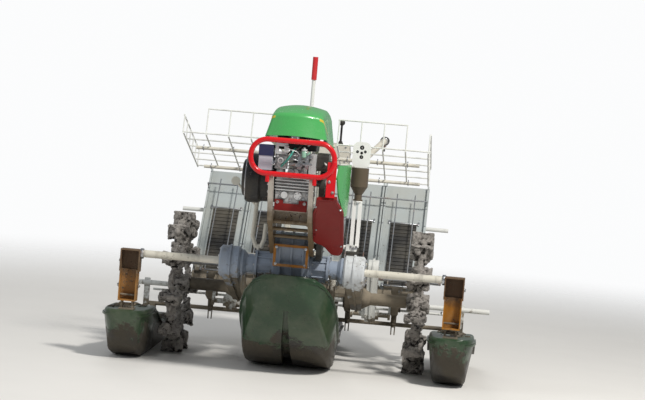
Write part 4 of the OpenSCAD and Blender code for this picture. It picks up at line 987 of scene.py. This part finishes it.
# %% Carburettor's body
fit("carburettor_body", "alloy", [
    drum((-50, -985, 834), (-50, -985, 806), 17, 3, 32),
    drum((-50, -985, 806), (-50, -985, 799), 6, 1.2, 20),
    block((-68, -1016, 842), (-32, -1012, 884), 2),
    drum((-50, -1012, 864), (-50, -1032, 864), 12, 1.5, 32, 4),
    drum((-36, -1010, 848), (-36, -1020, 848), 5, 1, 20, 1),
    drum((-64, -1010, 880), (-64, -1020, 880), 5, 1, 20, 1),
    block((-40, -1030, 896), (-22, -1027, 922), 1.4),
    drum((-31, -1024, 914), (-31, -1034, 914), 4.5, 1, 20, 1),
    wire([(-31, -1032, 914), (-12, -1040, 908), (10, -1036, 902), (22, -1027, 890)], 1.5),
    wire([(-68, -1014, 850), (-78, -1024, 846), (-86, -1022, 838)], 2.2),
])

# %% Fuel filter
bowl_skin = moulded("bowl_skin", "8fc0a8", 0.12, 0.1, coat=0.6, grime=0.1, scuffs=0.1)
fit("filter_bowl", "green_shell",
    [drum((38, -1031, 884), (38, -1031, 908), 9.5, 2, 36), drum((38, -1031, 880), (38, -1031, 886), 6, 1.5, 28),
     drum((50, -1033, 892), (61, -1035, 904), 3.2, 0.8, 20)], material=bowl_skin)
fit("filter_cap", "alloy",
    [drum((38, -1031, 907), (38, -1031, 915), 11, 1.5, 36), drum((38, -1031, 914), (38, -1031, 920), 4, 1, 24),
     block((34, -1030, 908), (42, -1012, 913), 1)])

# %% Plug, its boot and its lead
fit("spark_plug", "steel", [drum((46, -944, 914), (46, -956, 934), 9, 1.2, 6),
                            drum((46, -950, 924), (46, -962, 944), 6, 1.5, 24)], smooth=30)
freeze(drum((46, -958, 938), (46, -974, 962), 8.5, 2.5, 24), "plug_boot", "root", "grip_rubber")
cord("plug_lead", "root", "grip_rubber",
     [(46, -971, 958), (45, -985, 966), (38, -1002, 958), (28, -1016, 936), (12, -1024, 912), (-8, -1020, 904),
      (-22, -1008, 896), (-30, -995, 880), (-34, -980, 862), (-40, -962, 845), (-62, -948, 830)],
     6.5)

# %% Fuel hose
hose_skin = moulded("fuel_hose_skin", "3f9c8e", 0.25, 0.1, grime=0.1, coat=0.4)
cord("fuel_hose", "root", "green_shell",
     [(4, -952, 912), (4, -974, 910), (2, -1000, 914), (-4, -1022, 906), (-12, -1034, 888), (-24, -1038, 868),
      (-38, -1036, 852), (-46, -1022, 842), (-50, -1008, 838)],
     8, material=hose_skin)
fit("hose_clips", "steel",
    [drum((4, -968, 910), (3, -974, 910.5), 6, 0.8, 24), drum((-47, -1019, 841), (-49, -1013, 839), 6, 0.8, 24)])

# %% [markdown]
# The choke knob beside the engine is a flattened ball of pale plastic with a hollow face, on a short stem.

# %% Choke knob
knob = start("uv_sphere", segments=28, ring_count=14, radius=1.0)
bpy.ops.transform.resize(value=(0.016, 0.007, 0.0105))
step_in(knob, lambda c, n: n.y < -0.55, 0.002, (0, 0.0012, 0))
knob.data.transform(Matrix.Translation((0.127, -1.040, 0.862)) @ Matrix.Rotation(math.radians(-10), 4, "Y"))
fit("choke_knob", "white_paint", [knob, drum((126, -1034, 862), (118, -1002, 866), 3.2, 0.8, 20)], smooth=50)

# %% [markdown]
# ## Recoil starter
# The fan housing is pressed sheet. Its face has a rolled bright rim, a ring of slots that the fan breathes
# through, and a second, small rim round its cap. Each slot is a shallow louvre: a thin bar bent up from the
# sheet, and twenty of them stand in a ring. The rope's handle rests in its cup at the top.

# %% Starter face
starter_y, starter_z, louvre_count = -0.865, 0.782, 20
louvres = []
for i in range(louvre_count):
    bar = block((-1.6, -4.2, -15), (1.6, 4.2, 15), 1.4)
    turn = Matrix.Rotation(2 * math.pi * i / louvre_count, 4, "X") @ Matrix.Translation((0, 0, 0.050))
    bar.data.transform(Matrix.Translation((-0.1925, starter_y, starter_z)) @ turn @ Matrix.Rotation(0.35, 4, "Z"))
    louvres.append(bar)
fit("starter_louvres", "black_paint", louvres)
fit("starter_rims", "steel",
    [start("torus", major_radius=large, minor_radius=small, major_segments=steps, minor_segments=sides,
           location=(x, starter_y, starter_z), rotation=(0, math.pi / 2, 0))
     for large, small, steps, sides, x in ((0.0895, 0.0028, 64, 10, -0.1885), (0.031, 0.002, 40, 8, -0.2035))],
    smooth=60)
fit("starter_handle", "grip_rubber",
    [block((-150, -962, 852), (-112, -944, 866), 6, 4), drum((-131, -945, 857), (-131, -925, 846), 6, 1.5, 20)],
    smooth=50)

# %% [markdown]
# ## Frame, cases and brackets
# The swing cases are two halves screwed together along a flange, and the axle cases are screwed to the
# gearbox. The tables follow those joints.

# %% Screws of the cases
screws("axle_case_screws", "root", mirrored(ring(149, -670, 432, left, 51, 8, 9)
                                            + ring(81, -670, 432, left, 51, 8, 9, 0.5)))
for side, s in (("left", 1), ("right", -1)):
    screws("swing_screws_" + side, "swing_" + side, sided(ring(291, -670, 432, left, 48, 6, 11, 0.5), s))

# %% Screws of the gearbox, the engine bed and the engine
gear_rim = ((-744, 566), (-764, 548), (-708, 568), (-660, 506), (-610, 470), (-598, 430), (-612, 388),
            (-650, 362), (-700, 366), (-736, 400), (-756, 440))
screws("gearbox_screws", "root", mirrored([(69, y, z, left, 9) for y, z in gear_rim]))
bed_rail = ((-1050, 772), (-1026, 742), (-985, 700), (-960, 686), (-925, 646), (-862, 574), (-800, 516))
screws("bed_screws", "root", mirrored([(87, y, z, left, 11) for y, z in bed_rail]
                                      + [(79, -1066, 800, forward, 10), (52, -1004, 704, forward, 9),
                                         (58, -803, 516, forward, 8), (58, -803, 450, forward, 8)]))
screws("engine_screws", "root", [
    (-46, -997, 726, forward, 8), (-4, -997, 716, forward, 8), (46, -997, 722, forward, 8),
    (60, -996, 740, forward, 8), (-60, -996, 742, forward, 8), (70, -985, 730, (0.2, -1, 0), 9),
    (86, -950, 890, left, 9)] + ring(24, -1005, 732, forward, 11, 5, 4))

# %% [markdown]
# Each channel bracket has a cap over the end of its cross pipe, a long pin for the float's foot and three
# nuts, all zinc plated.

# %% Bracket bolts and nuts
bracket_parts = []
for s in (1, -1):
    bracket_parts += [drum((s * 615, -670, 432), (s * 601, -670, 432), 21, 2, 40),
                      drum((s * 616, -674, 262), (s * 688, -674, 262), 4.5, 1, 20)]
fit("bracket_bolts", "steel", bracket_parts)
screws("bracket_nuts", "root", mirrored([(692, -676, 300, left, 13), (612, -676, 300, (-1, 0, 0), 13),
                                         (692, -672, 398, left, 13)]))

# %% [markdown]
# ## Screws of the belt cover
# Five screws hold the cover's face, and three more its plate on the guard.

# %% Cover screws and plate screws
cover_facing = tuple(cover_at.to_3x3() @ Vector((0, 0, 1)))
cover_rows = []
for x, down in ((-48, 52), (48, 60), (50, 300), (-20, 345), (-46, 200)):
    spot = cover_at @ Vector((x / 1000, -down / 1000, 0.0002))
    cover_rows.append((*(v * 1000 for v in spot), cover_facing, 8))
screws("cover_screws", "root", cover_rows)
screws("plate_screws", "root", [(146, -1090, 800, forward, 9), (162, -1090, 760, forward, 9),
                                (154, -1090, 838, forward, 8)])

# %% [markdown]
# ## Bonnet's catch
# The catch at the nose is a bent spring clip on a small plate.

# %% Bonnet catch
fit("bonnet_catch", "steel",
    [block((-16, -1052, 944), (16, -1046, 966), 2),
     wire([(-10, -1053, 958), (-10, -1058, 944), (0, -1060, 936), (10, -1058, 944), (10, -1053, 958)], 1.8)],
    "bonnet")

# %% [markdown]
# ## Marker and racks
# The marker's foot turns on a wing nut, and its white plate has a few round ports with steel pips in them. A black
# disc in each port paints the shade of its recess.
# The wire racks are held on the bars by bent straps.

# %% Marker's nut and ports, and the rack clamps
fit("marker_wing_nut", "steel",
    [drum((238, -676, 526), (238, -690, 526), 7, 1.5, 24, 2), block((222, -689, 522), (231, -686, 538), 1.2),
     block((245, -689, 522), (254, -686, 538), 1.2)])
marker_x = 238
marker_ports = [(0, 930, 8.4, 4), (-17, 912, 5.4, 2), (0, 908, 5.4, 0), (14, 914, 5.4, 2), (0, 892, 7.4, 3)]
# Black discs on the ports' floors: painted shade in the recesses.
fit("marker_ports", "black_paint",
    [drum((marker_x + across, -647.6, z), (marker_x + across, -649.6, z), radius, 0.6, 28, 0.8)
     for across, z, radius, _ in marker_ports], "marker")
fit("marker_pips", "steel",
    [drum((marker_x + across, -649, z), (marker_x + across, -650.8, z), pip, 0.5, 20)
     for across, z, _, pip in marker_ports if pip], "marker")
strap = ((0, 14), (-9, 7), (-9.5, -4), (0, -9.5), (9.5, -4), (8, 7))
fit("rack_clamps", "steel",
    [wire([(s * x - 9, y + out, z + rise) for out, rise in strap], 1.8)
     for s in (1, -1) for y, z in ((-345, 866.3), (-30, 779)) for x in (175, 300, 425)])

# %% [markdown]
# ## Seedling platform
# The platform is a tilted tray. Its lanes are worked in the tray's own frame: x across, s up the slope and t
# away from the sheet. Each lane has a feed belt with cross ridges that runs over two rollers, and a forked
# gate at its lower lip, where a planting claw takes the seedlings.

# %% Feed belts and rollers
tray = Matrix.Translation((0, 0.101, 0.266)) @ Matrix.Rotation(math.radians(47), 4, "X")
lane_middles, belt_start, belt_end = (-400, -200, 200, 400), 66, 424
belt_parts, roller_parts = [], []
for lane in lane_middles:
    belt_parts.append(block((lane - 58, belt_start, 8.2), (lane + 58, belt_end, 11), 0.8))
    for ridge in (78 + step * 20.5 for step in range(17)):
        belt_parts.append(block((lane - 56, ridge, 10.6), (lane + 56, ridge + 5, 14.2), 0.9, 1))
fit("feed_belts", "belt_rubber", moved(tray, belt_parts), "platform")
for lane in lane_middles:
    for s in (belt_start, belt_end):
        roller_parts.append(drum((lane - 62, s, 8.6), (lane + 62, s, 8.6), 4.4, 0.8, 20))
        for x in (lane - 66, lane + 66):
            roller_parts.append(block((x - 4, s - 9, 8.1), (x + 4, s + 9, 15), 1))
fit("belt_rollers", "steel", moved(tray, roller_parts), "platform")

# %% Ribs under the tray
under = [block((lane + side - 9, low, -7), (lane + side + 9, high, 0.5), 3)
         for lane in lane_middles for side in (-48, 48) for low, high in ((26, 404), (456, 622))]
under.append(block((-494, 628, -16), (494, 639, 0.5), 1.5))
fit("tray_ribs", "platform_grey", moved(tray, under), "platform")

# %% Gates and tray screws
gate = (((-26, 72, 222), (-8, 74.5, 270)), ((-26, 60, 226), (-22, 74, 262)), ((8, 72, 222), (26, 74.5, 270)),
        ((22, 60, 226), (26, 74, 262)), ((-26, 72, 214), (26, 74.5, 226)), ((-18, 73, 239), (-10, 86, 243)),
        ((10, 73, 239), (18, 86, 243)))
fit("lane_gates", "steel", [block((lane + low[0], *low[1:]), (lane + high[0], *high[1:]), 1)
                            for lane in lane_middles for low, high in gate])
sheet_up = tuple(tray.to_3x3() @ Vector((0, 0, 1)))
tray_rows = []
for x in (lane + side * 94 for lane in lane_middles for side in (-1, 1)):
    for s in (24, 210, 400, 500, 616):
        spot = tray @ Vector((x / 1000, s / 1000, 0.030))
        tray_rows.append((*(v * 1000 for v in spot), sheet_up, 5.5))
screws("tray_screws", "platform", tray_rows)

# %% [markdown]
# ## Planting cases and arms
# A planting case is two pressed halves with a ring of small screws. Each arm has a cover over its cam, a
# bolt at its tail, and a spring that pushes the claw's rod back up.

# %% Planting screws and covers
case_rows, arm_parts = [], []
for s in (1, -1):
    for face in (1, -1):
        x = s * 300 + face * 22
        for angle in (20, 75, 130, 180, 230, 290):
            a = math.radians(angle)
            case_rows.append((x, -60 + 33 * math.cos(a), 400 + 33 * math.sin(a), (face, 0, 0), 6.5))
        for y, z in ((-66, 345), (-20, 330), (-52, 290), (-4, 275), (-44, 235)):
            case_rows.append((x, y, z, (face, 0, 0), 6.5))
    for lane, inward in ((s * 200, s), (s * 400, -s)):
        arm_parts += [drum((lane - inward * 13, 10, 235), (lane - inward * 17.5, 10, 235), 20, 1.2, 32, 1.5),
                      drum((lane - inward * 14, 46, 213), (lane - inward * 17, 46, 213), 9, 1, 24),
                      drum((lane - 17, -42, 313), (lane + 19, -42, 313), 5, 1, 20),
                      spring((lane, 46.5, 206), (lane, 49, 166), 8.2, 1.3, 7),
                      drum((lane, 49, 167), (lane, 49.3, 162), 9.5, 1, 24)]
        case_rows += ring(lane - inward * 17.4, 10, 235, (-inward, 0, 0), 14, 3, 4.5)
        case_rows += [(lane + 17, -42, 313, left, 9), (lane - 14 * inward, -18, 278, (-inward, 0, 0), 6)]
screws("planting_screws", "root", case_rows)
fit("planting_fittings", "steel", arm_parts)
screws("drive_screws", "root", mirrored(ring(48, -60, 400, left, 43, 8, 7))
       + [(x, y, 490, up, 9) for x in (-26, 26) for y in (-114, -80)])

# %% [markdown]
# ## Handles and console
# The grips are ribbed rubber with a flange before the hand. A bent clutch lever hangs below each grip from a
# clamp on the tube. The console's sloped face carries a dark blank panel with three round switches, and its
# levers come out of rubber boots.

# %% Grips
ribs = []
for x in (260, -260):
    ribs += [drum((x, 976, 930), (x, 981, 930), 22, 1.8, 36), drum((x, 1091, 930), (x, 1099.5, 930), 18.6, 2, 36)]
    ribs += [drum((x, 987 + k * 9.2, 930), (x, 991.6 + k * 9.2, 930), 18.1, 1, 28) for k in range(11)]
fit("grip_ribs", "grip_rubber", ribs)

# %% Clutch levers
hand_levers, lever_tips = [], []
for s in (1, -1):
    x = s * 260
    hand_levers += [drum((x, 946, 930), (x, 966, 930), 17.5, 1.5, 36), block((x - 7, 948, 902), (x + 7, 964, 916), 2),
                    drum((x - 10, 956, 907), (x + 10, 956, 907), 4, 0.8, 20),
                    wire([(x, 956, 907), (s * 259, 976, 901), (s * 256, 1004, 894), (s * 255, 1044, 890),
                          (s * 255, 1074, 884)], 4.2)]
    lever_tips.append(wire([(s * 256, 1012, 893), (s * 255, 1044, 890), (s * 255, 1076, 883.6)], 6.4))
fit("hand_levers", "steel", hand_levers)
fit("hand_lever_sleeves", "grip_rubber", lever_tips)

# %% Console panel, switches and boots
face_turn = Matrix.Translation((0, 0.680, 0.9073)) @ Matrix.Rotation(-math.atan2(36, 100), 4, "X")
fit("console_panel", "black_paint", moved(face_turn, [block((-104, 8, -0.5), (104, 98, 2.2), 1.2)]))
fit("console_rim", "steel", moved(face_turn, [
    block((-108, 4, -0.5), (108, 8.4, 4), 1), block((-108, 97.6, -0.5), (108, 102, 4), 1),
    block((-108, 4, -0.5), (-103.6, 102, 4), 1), block((103.6, 4, -0.5), (108, 102, 4), 1)]))
fit("console_switches", "grip_rubber", moved(face_turn, [
    drum((70, 50, 2), (70, 50, 12), 13, 1.5, 36, 2), block((68, 42, 10), (72, 58, 26), 1.5),
    drum((-66, 46, 2), (-66, 46, 9), 15, 1.5, 36, 2), drum((-66, 46, 8), (-66, 46, 22), 8, 1.5, 28),
    drum((0, 50, 2), (0, 50, 6), 18, 1.2, 40, 1.5)]))
boot_folds = ((907, 911, 12.5, 1), (910, 916, 10, 1.5), (915, 921, 8, 1.5))
fit("lever_boots", "grip_rubber", [drum((x, 665, low), (x, 665, high), radius, rim, 28)
                                   for x in (-70, 0, 70) for low, high, radius, rim in boot_folds])
console_side = ((664, 826), (664, 892), (764, 826), (764, 860))
screws("console_screws", "root", mirrored([(115, y, z, left, 7) for y, z in console_side]
                                          + [(96, 650, 826, forward, 7), (96, 650, 892, forward, 7)]))

# %% [markdown]
# ## Weld beads
# The frame is welded from tube. A bead is a closed bent rod with a ripple, laid round a tube where it meets
# a plate or another tube.

# %% Beads round the tubes
def bead(centre, direction, radius, gauge, seed):
    chance = random.Random(seed)
    turn, steps, line = turn_to(direction).to_3x3(), 28, []
    for k in range(steps + 1):
        angle = 2 * math.pi * k / steps
        reach = radius + (chance.uniform(-0.5, 0.5) if k % steps else 0)
        line.append(Vector(centre) + turn @ Vector((math.cos(angle), math.sin(angle), 0)) * reach)
    return wire(line, gauge, bent=False)


paired_beads = ((611.5, -670, 432, left, 15.6, 2.2), (60, -345, 498.5, up, 13.6, 2), (60, -345, 858, up, 13.2, 1.8),
                (50, -541, 498.5, up, 9.6, 1.8), (145, 720, 800, left, 12, 1.8), (130, 380, 508, up, 8.6, 1.6))
beads = [bead((s * x, y, z), direction, radius, gauge, 3 + 2 * i + s)
         for s in (1, -1) for i, (x, y, z, direction, radius, gauge) in enumerate(paired_beads)]
beads += [bead((0, -345, 873.5), up, 13, 1.8, 21), bead((75.4, -645, 526), left, 9.6, 1.8, 22)]
fit("weld_beads", "cream_paint", beads, smooth=60)

# %% [markdown]
# ## Mud on the decks
# Mud that the wheels throw up lies on the floats' decks in heaps of clods, on both sides alike. A ray from
# above finds the deck at each chosen place, so that every clod sits half sunk in what carries it. A place
# that misses the deck lowers the number of clods a little, so that the search always ends.

# %% Thrown clods
deck_mud = thick_mud("deck_mud", "6f675a", "2a2621")
heap_count, miss_cost = 9, 0.2


def deck_clods(node, count, seed, x_range, y_range, name):
    chance = random.Random(seed)
    heaps = [(chance.uniform(*x_range), chance.uniform(*y_range)) for _ in range(heap_count)]
    depths = bpy.context.evaluated_depsgraph_get()
    ball = start("ico_sphere", subdivisions=2, radius=1.0)
    made = []
    while len(made) < count:
        heap = chance.choice(heaps)
        x, y = heap[0] + chance.gauss(0, 0.02), heap[1] + chance.gauss(0, 0.05)
        if not (x_range[0] <= x <= x_range[1] and y_range[0] <= y <= y_range[1]):
            continue
        if chance.random() < 0.5:
            x = -x
        hit, spot, normal, _ = skins[node].ray_cast(Vector((x, y, 0.6)), Vector((0, 0, -1)), depsgraph=depths)
        if not hit or normal.z < 0.6:
            count -= miss_cost
            continue
        size = 0.004 + 0.012 * chance.random() ** 2
        at = Matrix.Translation(spot) @ turn_to(normal) @ Matrix.Rotation(chance.uniform(0, 6.28), 4, "Z")
        made.append(copy_at(ball, at @ Matrix.Diagonal((size * chance.uniform(1, 1.8), size * 1.1, size * 0.6, 1))))
    bpy.data.objects.remove(ball)
    skin = join(made)
    roughen(skin, "grit_" + name, 0.009, 2, 0.006, 0.55)
    freeze(skin, name, "root", "wheel_mud", 60, deck_mud)


deck_clods("side_floats", 230, 3, (0.572, 0.742), (-0.66, 0.13), "side_float_clods")
deck_clods("centre_float", 200, 8, (0.0, 0.19), (-0.35, 0.46), "centre_float_clods")
bpy.data.objects.remove(screw)
